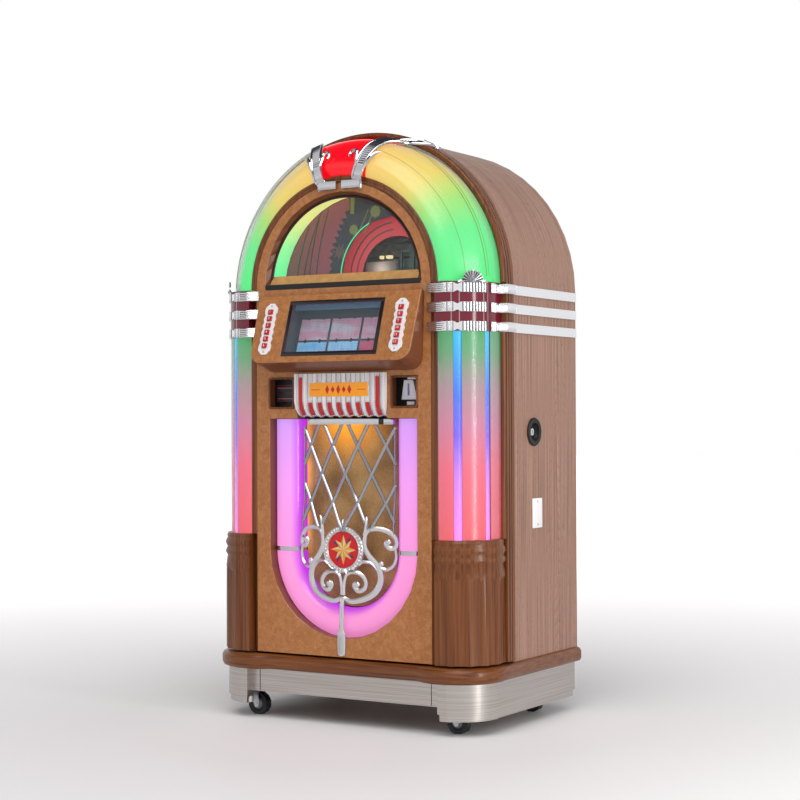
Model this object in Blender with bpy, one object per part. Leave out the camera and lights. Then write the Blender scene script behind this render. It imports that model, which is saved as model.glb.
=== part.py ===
"""An arched-top jukebox on casters, with lit plastics round a burl front.

Metres, +Z up. Every length is measured from three references on the object: the
middle of the cabinet (x = 0), the burl face of the door (y = 0, with +y going into
the cabinet) and the floor (z = 0). The cabinet's empty then carries the whole
object back by half its depth, so that the origin lies below its middle.

The door is one body with all that shows in front, and hangs on a long hinge at
the left. Twelve selection keys and a reject button slide in it. Behind it stand
the disc carousel, its transfer arm and the amplifier. Four casters carry it all.
"""

import math

import bmesh
import bpy
from mathutils import Matrix, Vector

# Fits, cuts and facets
FIT = 0.0003
OVERRUN = 0.002
WELD = 0.00001
ARCH_STEPS = 24
WINDOW_STEPS = 18

# Cabinet
CABINET_HALF = 0.404
ARCH_Z = 1.130
CABINET_FRONT_Y = 0.1735
CABINET_BACK_Y = 0.5415
CABINET_WALL = 0.018
SHELF_TOP_Z = 0.985
SHELF_THICKNESS = 0.018
SHELF_FRONT_Y = 0.184

# Plastics round the door: a lens section that runs up the sides and over the arch,
# with the door's ribbed rim outside it
RIB_LAP = 0.007
RIB_OUTER = CABINET_HALF + RIB_LAP
RIB_WIDTH = 0.016
LENS_SIDE = RIB_OUTER - RIB_WIDTH
LENS_RADIUS = 0.105
LENS_X = LENS_SIDE - LENS_RADIUS
LENS_Y = 0.0925
LENS_WALL = 0.003
LENS_STEPS = 7
LENS_BACK_Y = 0.1497
LENS_ROOT_Y = 0.0136
LENS_BOTTOM_Z = 0.4873
CREST_STEP = 10
CREST_DROP = 0.0055

# Moulding between the burl and the plastics
MOULDING_GAP = 0.007
MOULDING_WIDTH = 0.016
MOULDING_OUTER = LENS_X - MOULDING_GAP
MOULDING_INNER = MOULDING_OUTER - MOULDING_WIDTH
MOULDING_BEVEL = 0.0133
MOULDING_LEDGE = 0.012

# Chrome bands, on the door and as strips on the cabinet's sides
BAND_HEIGHT = 0.024
BAND_PITCH = 0.048
BAND_COUNT = 3
BAND_TOP_Z = 1.1265
BAND_PROUD = 0.004
BAND_EDGE = 0.003
BAND_EDGE_DROP = 0.0015
BAND_LAP = 0.010
BAND_INNER_X = MOULDING_INNER - BAND_LAP
BAND_INNER_PROUD = 0.0035
BAND_SHOULDER = 0.005
BAND_SHOULDER_X = MOULDING_INNER + BAND_SHOULDER
BAND_RIB_COVER = 0.0075
BAND_STEPS = 8
CORE_WALL = 0.006
STRIP_THICKNESS = 0.0035

# Fan ornament on the top band
FAN_TURN = math.radians(-39)
FAN_RADIUS = 0.027
FAN_HEIGHT = 0.031
FAN_THICKNESS = 0.0036
FAN_LOBES = 7
# Along one lobe and out from the fan's root
FAN_LOBE_SHARES = [(0, 0.93), (0.5, 1), (1, 0.93)]
FAN_ROOT_HALF = 0.009
FAN_SINK = 0.0025
FAN_STAND = 0.0008

# Base moulding
BASE_BOTTOM_Z = 0.132
BASE_TOP_Z = 0.172
BASE_FRONT_Y = -0.010
BASE_LAP = 0.0125
BASE_SIDE_X = CABINET_HALF + BASE_LAP
BASE_LOBE_SHIFT = 0.005
BASE_LOBE_X = LENS_X + BASE_LOBE_SHIFT
BASE_LOBE_Y = 0.0926
BASE_LOBE_RADIUS = 0.1265
BASE_LOBE_STEPS = 9
BASE_NOSE = 0.013
BASE_NOSE_SHARES = [(0, 1), (0.08, 0.35), (0.28, 0), (0.72, 0), (0.92, 0.35), (1, 1)]

# Steel plinth
PLINTH_FOOT_X = LENS_X
PLINTH_LOBE_RADIUS = 0.1085
PLINTH_KICK_Y = 0.004
PLINTH_SET_IN = 0.004
PLINTH_SIDE_X = CABINET_HALF - PLINTH_SET_IN
PLINTH_SIDE_Y = 0.1000
PLINTH_BACK_Y = 0.534
PLINTH_SHEET = 0.003
PLINTH_TIER_Z = 0.057
PLINTH_BOTTOM_Z = 0.040
PLINTH_TIER_INSET = 0.004
PLINTH_KICK_Z = 0.072
PLINTH_STEPS = 7

# Casters
CASTER_SHIFT = 0.035
CASTER_X = LENS_X + CASTER_SHIFT
CASTER_FRONT_Y = 0.065
CASTER_REAR_Y = 0.465
CASTER_TRAIL = 0.018
CASTER_BLOCK_HALF = 0.034
CASTER_BLOCK_Z = 0.0945
CASTER_STEM_RADIUS = 0.006
CASTER_STEM_LENGTH = 0.022
CASTER_PLATE_RADIUS = 0.026
CASTER_PLATE = 0.005
CASTER_LEG_GAP = 0.0135
CASTER_LEG = 0.003
CASTER_LEG_TOP_HALF = 0.018
CASTER_LEG_FOOT_HALF = 0.009
WHEEL_RADIUS = 0.030
WHEEL_HALF_WIDTH = 0.011
WHEEL_HUB_HALF = 0.0125
WHEEL_HUB_RADIUS = 0.011
WHEEL_RIM_RADIUS = 0.022
WHEEL_SHOULDER = 0.003
WHEEL_STEPS = 12
AXLE_RADIUS = 0.004

# Back panel
BACK_THICKNESS = 0.009
BACK_INSET = 0.003
VENT_COUNT = 5
VENT_PITCH = 0.014
VENT_HEIGHT = 0.006
VENT_HALF = 0.070
VENT_LOW_Z = 0.300
VENT_HIGH_Z = 1.180

# Door
DOOR_BOTTOM_Z = 0.178
DOOR_BACK_Y = 0.170
PANEL_HALF = MOULDING_INNER - FIT
PANEL_THICKNESS = 0.028
WEB_Y = 0.150
RIB_FRONT_Y = 0.131
RIB_GROOVE = 0.005
RIB_COUNT = 3
RIB_GROOVE_SHARE = 0.28
RAIL_TOP_Z = 0.200
CUT_EDGE = 0.002

# Crest castings
CREST_FOOT_Z = 1.385
CREST_THICKNESS = 0.005
CREST_LIFT = 0.0006
CREST_FOOT_HALF = 0.0250
CREST_FOOT_TURN = math.radians(7.1)
CREST_TAIL_Y = 0.150
# Lean off the vertical in degrees and share of the foot's half width, over the lens
CREST_LENS_SHARES = [(7.9, 1), (8.2, 0.98), (8.7, 0.96), (9.6, 0.94), (11.1, 0.91),
                     (13.5, 0.89), (16.4, 0.87), (19.4, 0.84)]
# Share of the tail's depth, share of the climb to the ribs, lean and half width share
CREST_TAIL_SHARES = [(0.30, 0.45, 22.6, 0.80), (0.62, 1, 26.0, 0.72), (0.84, 1, 28.4, 0.50),
                     (1, 1, 30.0, 0.22)]
# Across the casting and up from its underside
CREST_SECTION_SHARES = [(-1, 0), (0, 0), (1, 0), (1, 0.7), (0.72, 1), (0.36, 0.72), (0, 1.15),
                        (-0.36, 0.72), (-0.72, 1), (-1, 0.7)]

# Pilaster bases
PILASTER_SHIFT = 0.010
PILASTER_X = LENS_X + PILASTER_SHIFT
PILASTER_Y = 0.0945
PILASTER_RADIUS = 0.1125
PILASTER_TOP_Z = 0.487
PILASTER_TOP_Y = 0.1307
FLUTE_COUNT = 5
FLUTE_DEPTH = 0.006
# Along one flute and share of its depth
FLUTE_SHARES = [(0.07, 0), (0.3, 1), (0.7, 1), (0.93, 0)]
FLUTE_TOP_Z = 0.398
FLUTE_RUNOUT = 0.014
RING_HEIGHT = 0.013
RING_PROUD = 0.0008
RING_GROOVE = 0.004
RING_GROOVE_HEIGHT = 0.006
COLLAR_INSET = 0.0025

# Window
WINDOW_Z = 1.135
WINDOW_BORDER = 0.0261
WINDOW_RADIUS = PANEL_HALF - WINDOW_BORDER
REVEAL_Y = 0.0200
REVEAL_SLOPE = 0.0116
REVEAL_RADIUS = WINDOW_RADIUS - REVEAL_SLOPE
REVEAL_Z = 1.1580
GLASS_LEDGE = 0.005
GLASS_THICKNESS = 0.004
TRAY_BORDER = 0.021
TRAY_INNER = MOULDING_INNER - TRAY_BORDER
TRAY_WALL = 0.003
TRAY_FLOOR_Z = 1.1200
TRAY_BACK_Y = 0.101
ARC_X = 0.090
ARC_Z = 1.160
ARC_RADIUS = 0.155
ARC_MARGIN = 0.008
ARC_FLOOR = 0.016

# Selector housing, on a slope of its own
SELECTOR_TOP_Y = -0.0112
SELECTOR_TOP_Z = 1.1133
SELECTOR_TILT = math.radians(18.3)
SELECTOR_LENGTH = 0.1878
SELECTOR_BORDER = 0.0188
SELECTOR_TOP_HALF = PANEL_HALF - SELECTOR_BORDER
SELECTOR_TAPER = 0.0042
SELECTOR_FOOT_HALF = SELECTOR_TOP_HALF - SELECTOR_TAPER
SELECTOR_CORNER = 0.035
SELECTOR_DEPTH = 0.085
SELECTOR_WALL = 0.005
SELECTOR_FACE = 0.006
SELECTOR_EDGE = 0.003
SELECTOR_CORNER_STEPS = 5
SELECTOR_HOLE_BORDER = 0.0259
SELECTOR_HOLE_HALF = SELECTOR_TOP_HALF - SELECTOR_HOLE_BORDER
SELECTOR_FOOT_Z = SELECTOR_TOP_Z - SELECTOR_LENGTH * math.cos(SELECTOR_TILT)
SELECTOR_HOLE_LOW = 0.003
SELECTOR_HOLE_LOW_Z = SELECTOR_FOOT_Z + SELECTOR_HOLE_LOW
SELECTOR_HOLE_HEAD = 0.0103
SELECTOR_HOLE_HIGH_Z = SELECTOR_TOP_Z - SELECTOR_HOLE_HEAD
GLASS_BORDER = 0.1029
GLASS_HALF = SELECTOR_TOP_HALF - GLASS_BORDER
GLASS_TOP_V = -0.0183
GLASS_FOOT_BORDER = 0.0175
GLASS_FOOT_V = GLASS_FOOT_BORDER - SELECTOR_LENGTH
GLASS_REBATE = 0.0036
GLASS_LIP = 0.004
RACK_LAP = 0.007
RACK_HALF = GLASS_HALF + RACK_LAP
RACK_MARGIN = 0.006
RACK_DEPTH = 0.012
RACK_WALL = 0.003
CARD_COLUMNS = 3
CARD_ROWS = 2
CARD_MARGIN = 0.006
CARD_DEPTH = 0.0015

# Key plates and keys
KEY_BORDER = 0.0484
KEY_X = SELECTOR_TOP_HALF - KEY_BORDER
KEY_COUNT = 6
KEY_SPAN_LOSS = 0.0943
KEY_PITCH = (SELECTOR_LENGTH - KEY_SPAN_LOSS) / (KEY_COUNT - 1)
KEY_HEAD = 0.0478
KEY_FIRST_V = -KEY_HEAD
KEY_HALF_WIDTH = 0.0070
KEY_HALF_HEIGHT = 0.00625
KEY_FLANGE = 0.0015
KEY_FLANGE_DEPTH = 0.004
KEY_TOP = 0.0082
KEY_EDGE = 0.0012
KEY_SLOT_HALF = 0.0105
KEY_SLOT_MARGIN = 0.004
KEY_PLATE_HALF = 0.0188
KEY_PLATE_SCALLOP = 0.0035
KEY_PLATE_END = 0.024
KEY_PLATE_THICKNESS = 0.0032

# Name casting
NAME_HALF = 0.138
NAME_TAPER = 0.006
NAME_FOOT_HALF = NAME_HALF - NAME_TAPER
NAME_GAP = 0.0283
NAME_TOP_Z = SELECTOR_FOOT_Z - NAME_GAP
NAME_FRONT_Y = -0.0139
NAME_FACE = 0.0707
NAME_CURL_Z = NAME_TOP_Z - NAME_FACE
NAME_FOOT_Y = 0.0190
NAME_CURL = 0.042
NAME_FOOT_Z = NAME_CURL_Z - NAME_CURL
NAME_WALL = 0.0040
NAME_NOTCH_DROP = 0.001
NAME_NOTCH_Z = NAME_CURL_Z - NAME_NOTCH_DROP
NAME_NOTCH_MARGIN = 0.0058
NAME_RIB_COUNT = 10
NAME_RIB = 0.003
NAME_RIB_SHARE = 0.34
NAME_CURL_STEPS = 3
NAME_PLATE_HALF = 0.0895
NAME_PLATE_LIFT = 0.011
NAME_PLATE_HEIGHT = 0.036
NAME_PLATE_LOW_Z = NAME_CURL_Z + NAME_PLATE_LIFT
NAME_PLATE_HIGH_Z = NAME_PLATE_LOW_Z + NAME_PLATE_HEIGHT

# Coin and note recesses
RECESS_BORDER = 0.0787
RECESS_DROP = 0.0492
RECESS_X = PANEL_HALF - RECESS_BORDER
RECESS_Z = NAME_TOP_Z - RECESS_DROP
RECESS_HALF = 0.0395
RECESS_WALL = 0.003
RECESS_FLOOR_Y = 0.039
COIN_TOP_HALF = 0.013
COIN_FOOT_HALF = 0.023
COIN_RISE = 0.0295
COIN_DROP = 0.0195
COIN_TOP_Z = RECESS_Z + COIN_RISE
COIN_FOOT_Z = RECESS_Z - COIN_DROP
COIN_FRONT_Y = 0.022
COIN_FOOT_FRONT_Y = 0.026
COIN_SLOT_HALF = 0.0016
COIN_SLOT_INSET = 0.010
COIN_SLOT_HEAD = 0.008
COIN_SLOT_LOW_Z = COIN_FOOT_Z + COIN_SLOT_INSET
COIN_SLOT_HIGH_Z = COIN_TOP_Z - COIN_SLOT_HEAD
NOTE_BEZEL_HALF = 0.0365
NOTE_BEZEL_TALL = 0.017
NOTE_FRONT_Y = 0.027
NOTE_SLOT_HALF = 0.0335
NOTE_SLOT_TALL = 0.0025
NOTE_EDGE = 0.004
BUTTON_DROP = 0.029
BUTTON_Z = RECESS_Z - BUTTON_DROP
BUTTON_HALF = 0.0105
BUTTON_TALL = 0.0045
BUTTON_FRONT_Y = 0.031
BUTTON_FLANGE = 0.002
BUTTON_FLANGE_THICKNESS = 0.0025
BUTTON_EDGE = 0.001

# Grille opening, tube, cloth board and speaker
GRILLE_BORDER = 0.0421
GRILLE_HALF = PANEL_HALF - GRILLE_BORDER
GRILLE_FOOT = 0.0474
GRILLE_Z = DOOR_BOTTOM_Z + GRILLE_FOOT + GRILLE_HALF
GRILLE_HEAD = 0.004
GRILLE_TOP_Z = NAME_FOOT_Z - GRILLE_HEAD
GRILLE_STEPS = 14
TUBE_RADIUS = 0.0383
TUBE_X = GRILLE_HALF - TUBE_RADIUS - FIT
TUBE_Y = 0.0510
TUBE_SIDES = 9
TUBE_WALL = 0.003
TUBE_OPENING = math.radians(42)
CLOTH_Y = 0.060
CLOTH_GAP = 0.0012
CLOTH_HALF = TUBE_X - TUBE_RADIUS - CLOTH_GAP
FLANGE_BORDER = 0.0122
FLANGE_HALF = PANEL_HALF - FLANGE_BORDER
FLANGE_LIFT = 0.003
FLANGE_LOW_Z = RAIL_TOP_Z + FLANGE_LIFT
FLANGE_LAP = 0.016
FLANGE_HIGH_Z = GRILLE_TOP_Z + FLANGE_LAP
FLANGE_THICKNESS = 0.012
CLOTH_SKIN = 0.003
SPEAKER_LIFT = 0.050
SPEAKER_Z = GRILLE_Z + SPEAKER_LIFT
SPEAKER_RADIUS = 0.125
SPEAKER_FLANGE = 0.006
SPEAKER_DEPTH = 0.062
SPEAKER_MAGNET_RADIUS = 0.058
SPEAKER_MAGNET_SHARE = 0.42
SPEAKER_CONE_RADIUS = 0.110
SPEAKER_CONE_DEPTH = 0.036
SPEAKER_DOME_RADIUS = 0.030
SPEAKER_STEPS = 16

# Lattice and medallion
BAR_DROP = 0.0075
BAR_Z = GRILLE_TOP_Z - BAR_DROP
BAR_HALF = 0.125
BAR_TALL = 0.0075
BAR_DEEP = 0.004
# Out from the middle, and how far the end has turned back to the cloth
BAR_SHARES = [(0.15, 0), (0.45, 0), (0.7, 0), (0.9, 0), (0.985, 0.5), (1, 1)]
BOW_Y = 0.015
BOW_RISE = 0.02105
SCROLL_Y = 0.002
SCROLL_RISE = 0.02548
LATTICE_HEAD = 0.0625
LATTICE_ROW_Z = BAR_Z - LATTICE_HEAD
LATTICE_ROW = 0.0735
LATTICE_PITCH = 0.0765
LATTICE_LIFT = 0.053
LATTICE_LOW_Z = GRILLE_Z + LATTICE_LIFT
LATTICE_EDGE_X = 0.140
BOW_RATE = BOW_RISE / LATTICE_EDGE_X ** 2
SCROLL_RATE = SCROLL_RISE / LATTICE_EDGE_X ** 2
LATTICE_WIDE = 0.0046
LATTICE_DEEP = 0.0040
LATTICE_STAGGER = 0.0006
BLEND_LIFT = 0.060
BLEND_HEIGHT = 0.090
BLEND_LOW_Z = GRILLE_Z + BLEND_LIFT
BLEND_HIGH_Z = BLEND_LOW_Z + BLEND_HEIGHT
SCROLL_WIDE = 0.0056
SCROLL_DEEP = 0.0044
SCROLL_THIN_SHARE = 0.66
MEDALLION_RADIUS = 0.061
MEDALLION_LIFT = 0.0035
MEDALLION_Z = GRILLE_Z + MEDALLION_LIFT
MEDALLION_FRONT_Y = 0.0035
MEDALLION_THICKNESS = 0.012
MEDALLION_FLOOR = 0.0465
MEDALLION_SINK = 0.004
MEDALLION_TIP = 0.0785
MEDALLION_TIP_Z = MEDALLION_Z + MEDALLION_TIP
MEDALLION_STEPS = 18
FINGER_HALF = 0.0115
FINGER_TOP_DROP = 0.105
FINGER_TOP_Z = GRILLE_Z - FINGER_TOP_DROP
FINGER_PLATE_LIFT = 0.003
FINGER_PLATE_LOW_Z = DOOR_BOTTOM_Z + FINGER_PLATE_LIFT
FINGER_PLATE_HEIGHT = 0.057
FINGER_PLATE_TOP_Z = FINGER_PLATE_LOW_Z + FINGER_PLATE_HEIGHT
FINGER_TOP_HALF = 0.006
FINGER_THICKNESS = 0.006
FINGER_LIFT = 0.0012

# Scrollwork, right half: shares of the medallion's radius from its middle (x, z)
TRUNK_SHARES = [(1.08, 0.68), (1.05, 0.19), (1.22, -0.20), (1.56, -0.60), (1.74, -1.06),
                (1.67, -1.48), (1.40, -1.83), (0.92, -2.06), (0.40, -2.15), (0.07, -2.02)]
UPPER_SHARES = [(1.06, 0.60), (1.22, 0.84), (1.63, 0.91), (2.08, 0.79), (2.34, 0.50),
                (2.36, 0.20), (2.16, 0.10), (1.96, 0.26), (2.06, 0.45)]
LOWER_SHARES = [(2.30, 0.20), (2.37, -0.20), (2.27, -0.58), (1.98, -0.78), (1.72, -0.68),
                (1.80, -0.44)]
BRIDGE_SHARES = [(0.78, -0.62), (0.98, -0.48), (1.34, -0.54), (1.58, -0.80)]
VOLUTE_SHARES = [(0.055, -1.90), (0.07, -1.44), (0.18, -1.06), (0.46, -0.92), (0.84, -0.99),
                 (1.08, -1.28), (1.03, -1.60), (0.74, -1.70), (0.56, -1.48), (0.74, -1.36)]
TIE_SHARES = [(0.09, -0.84), (0.22, -1.01)]

# Hinge
HINGE_LAP = 0.012
HINGE_X = -CABINET_HALF - HINGE_LAP
HINGE_Y = 0.17175
HINGE_RADIUS = 0.004
HINGE_PIN_RADIUS = 0.0018
HINGE_BOTTOM_Z = 0.240
HINGE_TOP_Z = 0.980
HINGE_KNUCKLES = 7
HINGE_LEAF = 0.0012
HINGE_LEAF_REACH = 0.017
HINGE_LEAF_X = -CABINET_HALF + HINGE_LEAF_REACH
HINGE_STEPS = 8

# Lock
LOCK_Y = 0.289
LOCK_Z = 0.754
LOCK_RADIUS = 0.0365
LOCK_PROUD = 0.005
LOCK_BODY_RADIUS = 0.028
LOCK_BODY_LENGTH = 0.034
LOCK_CUP_RADIUS = 0.0235
LOCK_CUP_DEPTH = 0.014
BARREL_RADIUS = 0.0110
BARREL_PROUD = 0.006
KEYWAY_HALF = 0.0013
KEYWAY_LENGTH_HALF = 0.0045
KEYWAY_DEPTH = 0.008
CAM_LENGTH = 0.038
CAM_HALF = 0.0075
CAM_THICKNESS = 0.0025
LOCK_STEPS = 14

# Mechanism
MECH_Y = 0.345
MECH_HALF_X = 0.190
MECH_FRONT_Y = 0.186
MECH_BACK_Y = 0.505
MECH_PLATE = 0.004
SPINDLE_RADIUS = 0.008
SPINDLE_TOP_Z = 1.128
DISC_RADIUS = 0.060
DISC_RING = 0.095
DISC_Z = 1.061
DISC_COUNT = 12
DISC_THICKNESS = 0.0016
DISC_STEPS = 9
CAROUSEL_HUB = 0.038
CAROUSEL_PLATE = 0.006
CAROUSEL_PLATE_RADIUS = 0.150
CAROUSEL_CORE_RADIUS = 0.020
CAROUSEL_STEPS = 14
COLUMN_FRONT_Y = 0.222
COLUMN_BACK_Y = 0.300
COLUMN_THICKNESS = 0.004
BEAM_LOW_Z = 1.166
BEAM_HIGH_Z = 1.178
DECK_LEFT_X = -0.066
DECK_RIGHT_X = 0.105
DECK_FRONT_Y = 0.206
DECK_BACK_Y = 0.296
DECK_TOP_Z = 1.276
DECK_SHOULDER = 0.040
DECK_SLOT_HALF = 0.064
DECK_SLOT_TALL = 0.006
DECK_WALL = 0.003
DECK_SLOT_Z = 1.214
ARM_X = -0.176
ARM_POST_RADIUS = 0.008
ARM_PIN_RADIUS = 0.004
ARM_HUB_RADIUS = 0.012
ARM_LOW_Z = 1.1335
ARM_HIGH_Z = 1.1495
ARM_LENGTH = 0.118
ARM_HALF = 0.006
ARM_THICKNESS = 0.008
ARM_JAW_RADIUS = 0.022
ARM_JAW_WALL = 0.005
ARM_STEPS = 12

# Amplifier
AMPLIFIER_LEFT_X = -0.210
AMPLIFIER_RIGHT_X = 0.130
AMPLIFIER_FRONT_Y = 0.255
AMPLIFIER_BACK_Y = 0.455
AMPLIFIER_HEIGHT = 0.065
AMPLIFIER_SHEET = 0.002
FIN_COUNT = 9
FIN_PITCH = 0.012
FIN_THICKNESS = 0.004
FIN_HEIGHT = 0.034
FIN_BASE = 0.006
TRANSFORMER_HALF = 0.045
TRANSFORMER_HEIGHT = 0.070
TRANSFORMER_X = 0.070

# Where the whole object sits: its depth runs from the selector's nose to the back
SELECTOR_NOSE_Y = (SELECTOR_TOP_Y
                   - (SELECTOR_LENGTH - SELECTOR_EDGE) * math.sin(SELECTOR_TILT))
DEPTH_SHIFT = -(SELECTOR_NOSE_Y + CABINET_BACK_Y) / 2
WHEEL_Z = WHEEL_RADIUS * math.cos(math.pi / WHEEL_STEPS)
FLOOR_Z = BASE_TOP_Z + FIT
PANEL_BACK_Y = PANEL_THICKNESS
FRAME_LEDGE_Y = PANEL_BACK_Y + FIT
LENS_ROOT = MOULDING_OUTER + FIT
LENS_START = -math.acos((LENS_ROOT - LENS_X) / LENS_RADIUS)
BAND_LOW_Z = BAND_TOP_Z - BAND_PITCH * (BAND_COUNT - 1) - BAND_HEIGHT
SLOPE = (Matrix.Translation((0, SELECTOR_TOP_Y, SELECTOR_TOP_Z))
         @ Matrix.Rotation(math.pi / 2 - SELECTOR_TILT, 4, 'X'))


# Shaping helpers

def clear_scene():
    for item in list(bpy.data.objects):
        bpy.data.objects.remove(item, do_unlink=True)


def make(vertices, faces):
    """A closed solid from vertices and faces, with its faces turned outward."""
    mesh = bpy.data.meshes.new("solid")
    mesh.from_pydata([tuple(point) for point in vertices], [], faces)
    shape = bmesh.new()
    shape.from_mesh(mesh)
    bmesh.ops.recalc_face_normals(shape, faces=shape.faces)
    shape.to_mesh(mesh)
    shape.free()
    item = bpy.data.objects.new("solid", mesh)
    bpy.context.collection.objects.link(item)
    return item


def loft(rings, closed=False):
    """Skin through rings of equal length, capped at both ends unless closed."""
    count = len(rings[0])
    vertices = [point for ring in rings for point in ring]
    faces = []
    spans = len(rings) if closed else len(rings) - 1
    for span in range(spans):
        near = span * count
        far = (span + 1) % len(rings) * count
        for side in range(count):
            after = (side + 1) % count
            faces.append((near + side, near + after, far + after, far + side))
    if not closed:
        faces.append(tuple(range(count)))
        faces.append(tuple(range(len(vertices) - count, len(vertices))))
    return make(vertices, faces)


def along_x(outline, start, end):
    return loft([[(x, y, z) for y, z in outline] for x in (start, end)])


def along_y(outline, start, end):
    return loft([[(x, y, z) for x, z in outline] for y in (start, end)])


def along_z(outline, start, end):
    return loft([[(x, y, z) for x, y in outline] for z in (start, end)])


def box(left, right, front, back, low, high):
    return along_z([(left, front), (right, front), (right, back), (left, back)], low, high)


def lathe(profile, steps, phase=0):
    """Turn (radius, height) points about Z; a radius of zero closes on the axis."""
    vertices, rows = [], []
    for radius, height in profile:
        if radius == 0:
            rows.append([len(vertices)] * steps)
            vertices.append((0, 0, height))
            continue
        rows.append([len(vertices) + step for step in range(steps)])
        for step in range(steps):
            turn = phase + 2 * math.pi * step / steps
            vertices.append((radius * math.cos(turn), radius * math.sin(turn), height))
    closed = profile[0][0] > 0
    faces = []
    for index in range(len(rows) if closed else len(rows) - 1):
        near, far = rows[index], rows[(index + 1) % len(rows)]
        for step in range(steps):
            after = (step + 1) % steps
            corners = [near[step], near[after], far[after], far[step]]
            faces.append(tuple(dict.fromkeys(corners)))
    return make(vertices, faces)


def tube(points, wide, deep, across, thin=1, sides=4):
    """A bar of oval section along points; across gives its width's direction."""
    rings = []
    for index, point in enumerate(points):
        before = points[max(index - 1, 0)]
        after = points[min(index + 1, len(points) - 1)]
        ahead = (after - before).normalized()
        side = ahead.cross(across).normalized()
        share = 1 + (thin - 1) * index / (len(points) - 1)
        ring = []
        for step in range(sides):
            turn = 2 * math.pi * step / sides
            ring.append(point + side * (wide * share * math.cos(turn))
                        + across * (deep * share * math.sin(turn)))
        rings.append(ring)
    return loft(rings)


def smooth_path(points, steps=2):
    """A Catmull-Rom curve through the points, with steps spans between each pair."""
    path = []
    for index in range(len(points) - 1):
        before = points[max(index - 1, 0)]
        start, end = points[index], points[index + 1]
        after = points[min(index + 2, len(points) - 1)]
        for step in range(steps):
            t = step / steps
            path.append(start * (1 - 2.5 * t ** 2 + 1.5 * t ** 3)
                        + end * (0.5 * t + 2 * t ** 2 - 1.5 * t ** 3)
                        + before * (-0.5 * t + t ** 2 - 0.5 * t ** 3)
                        + after * (0.5 * t ** 3 - 0.5 * t ** 2))
    path.append(points[-1])
    return path


def tidy(mesh):
    """Weld the corners that a cut leaves on top of each other."""
    shape = bmesh.new()
    shape.from_mesh(mesh)
    bmesh.ops.remove_doubles(shape, verts=shape.verts, dist=WELD)
    bmesh.ops.dissolve_degenerate(shape, edges=shape.edges, dist=WELD)
    shape.to_mesh(mesh)
    shape.free()


def combine(item, others, operation):
    for other in others:
        step = item.modifiers.new("combine", 'BOOLEAN')
        step.operation = operation
        step.object = other
    bpy.context.view_layer.update()
    graph = bpy.context.evaluated_depsgraph_get()
    mesh = bpy.data.meshes.new_from_object(item.evaluated_get(graph))
    item.modifiers.clear()
    item.data = mesh
    tidy(mesh)
    for other in others:
        bpy.data.objects.remove(other, do_unlink=True)
    return item


def fuse(item, *others):
    return combine(item, others, 'UNION')


def cut(item, *others):
    return combine(item, others, 'DIFFERENCE')


def overlap(item, *others):
    return combine(item, others, 'INTERSECT')


def moved(item, matrix):
    item.data.transform(matrix)
    return item


def mirrored(item):
    """The same solid on the other side of x = 0."""
    item.data.transform(Matrix.Scale(-1, 4, (1, 0, 0)))
    item.data.flip_normals()
    return item


def shifted(item, x, y, z):
    return moved(item, Matrix.Translation((x, y, z)))


def to_x_axis(item):
    """Lay a shape turned about Z on the X axis: its +Z end points to +X."""
    return moved(item, Matrix.Rotation(math.pi / 2, 4, 'Y'))


def to_y_axis(item):
    """Lay a shape turned about Z on the Y axis: its +Z end points to +Y."""
    return moved(item, Matrix.Rotation(-math.pi / 2, 4, 'X'))


# Shared outlines

def arch_outline(half, bottom, steps=ARCH_STEPS, centre=ARCH_Z):
    """(x, z) points: up the left side, over a half circle, down the right side."""
    points = [(-half, bottom)]
    for step in range(steps + 1):
        turn = math.pi * step / steps
        points.append((-half * math.cos(turn), centre + half * math.sin(turn)))
    points.append((half, bottom))
    return points


def u_outline(half, top, centre, steps=GRILLE_STEPS):
    """(x, z) points: down the left side, round a half circle, up the right side."""
    points = [(-half, top)]
    for step in range(steps + 1):
        turn = math.pi * step / steps
        points.append((-half * math.cos(turn), centre - half * math.sin(turn)))
    points.append((half, top))
    return points


def rectangle(left, right, low, high):
    return [(left, low), (right, low), (right, high), (left, high)]


def arch_stations():
    """How far round the arch each facet corner lies, from the left springing."""
    return [math.pi * step / ARCH_STEPS for step in range(ARCH_STEPS + 1)]


def arch_ring(section, turn):
    return [Vector((-radius * math.cos(turn), y, ARCH_Z + radius * math.sin(turn)))
            for radius, y in section]


def arch_sweep(section, first, last):
    """Sweep an (radius, y) section along the arch, trimmed by a fit at each end."""
    stations = arch_stations()[first:last + 1]
    rings = [arch_ring(section, turn) for turn in stations]
    trim = FIT / (LENS_SIDE * (stations[1] - stations[0]))
    rings[0] = [near.lerp(far, trim) for near, far in zip(rings[0], rings[1])]
    rings[-1] = [near.lerp(far, trim) for near, far in zip(rings[-1], rings[-2])]
    return loft(rings)


def lens_point(turn, height):
    """(x, y) on the lens surface, raised by height; past 0 it runs straight back."""
    radius = LENS_RADIUS + height
    if turn > 0:
        return LENS_X + radius, LENS_Y + LENS_RADIUS * turn
    return LENS_X + radius * math.cos(turn), LENS_Y + radius * math.sin(turn)


def lens_section(height, wall):
    """Closed (x, y) section of a shell that follows the lens surface."""
    turns = [LENS_START * (1 - step / LENS_STEPS) for step in range(LENS_STEPS + 1)]
    outer = [lens_point(turn, height) for turn in turns]
    inner = [lens_point(turn, height - wall) for turn in turns]
    inner[0] = (LENS_ROOT + wall, inner[0][1])
    outer[0] = (LENS_ROOT, outer[0][1])
    return ([(LENS_ROOT, LENS_ROOT_Y)] + outer
            + [(LENS_SIDE + height, LENS_BACK_Y), (LENS_SIDE + height - wall, LENS_BACK_Y)]
            + inner[::-1] + [(LENS_ROOT + wall, LENS_ROOT_Y)])


# Cabinet

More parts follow.
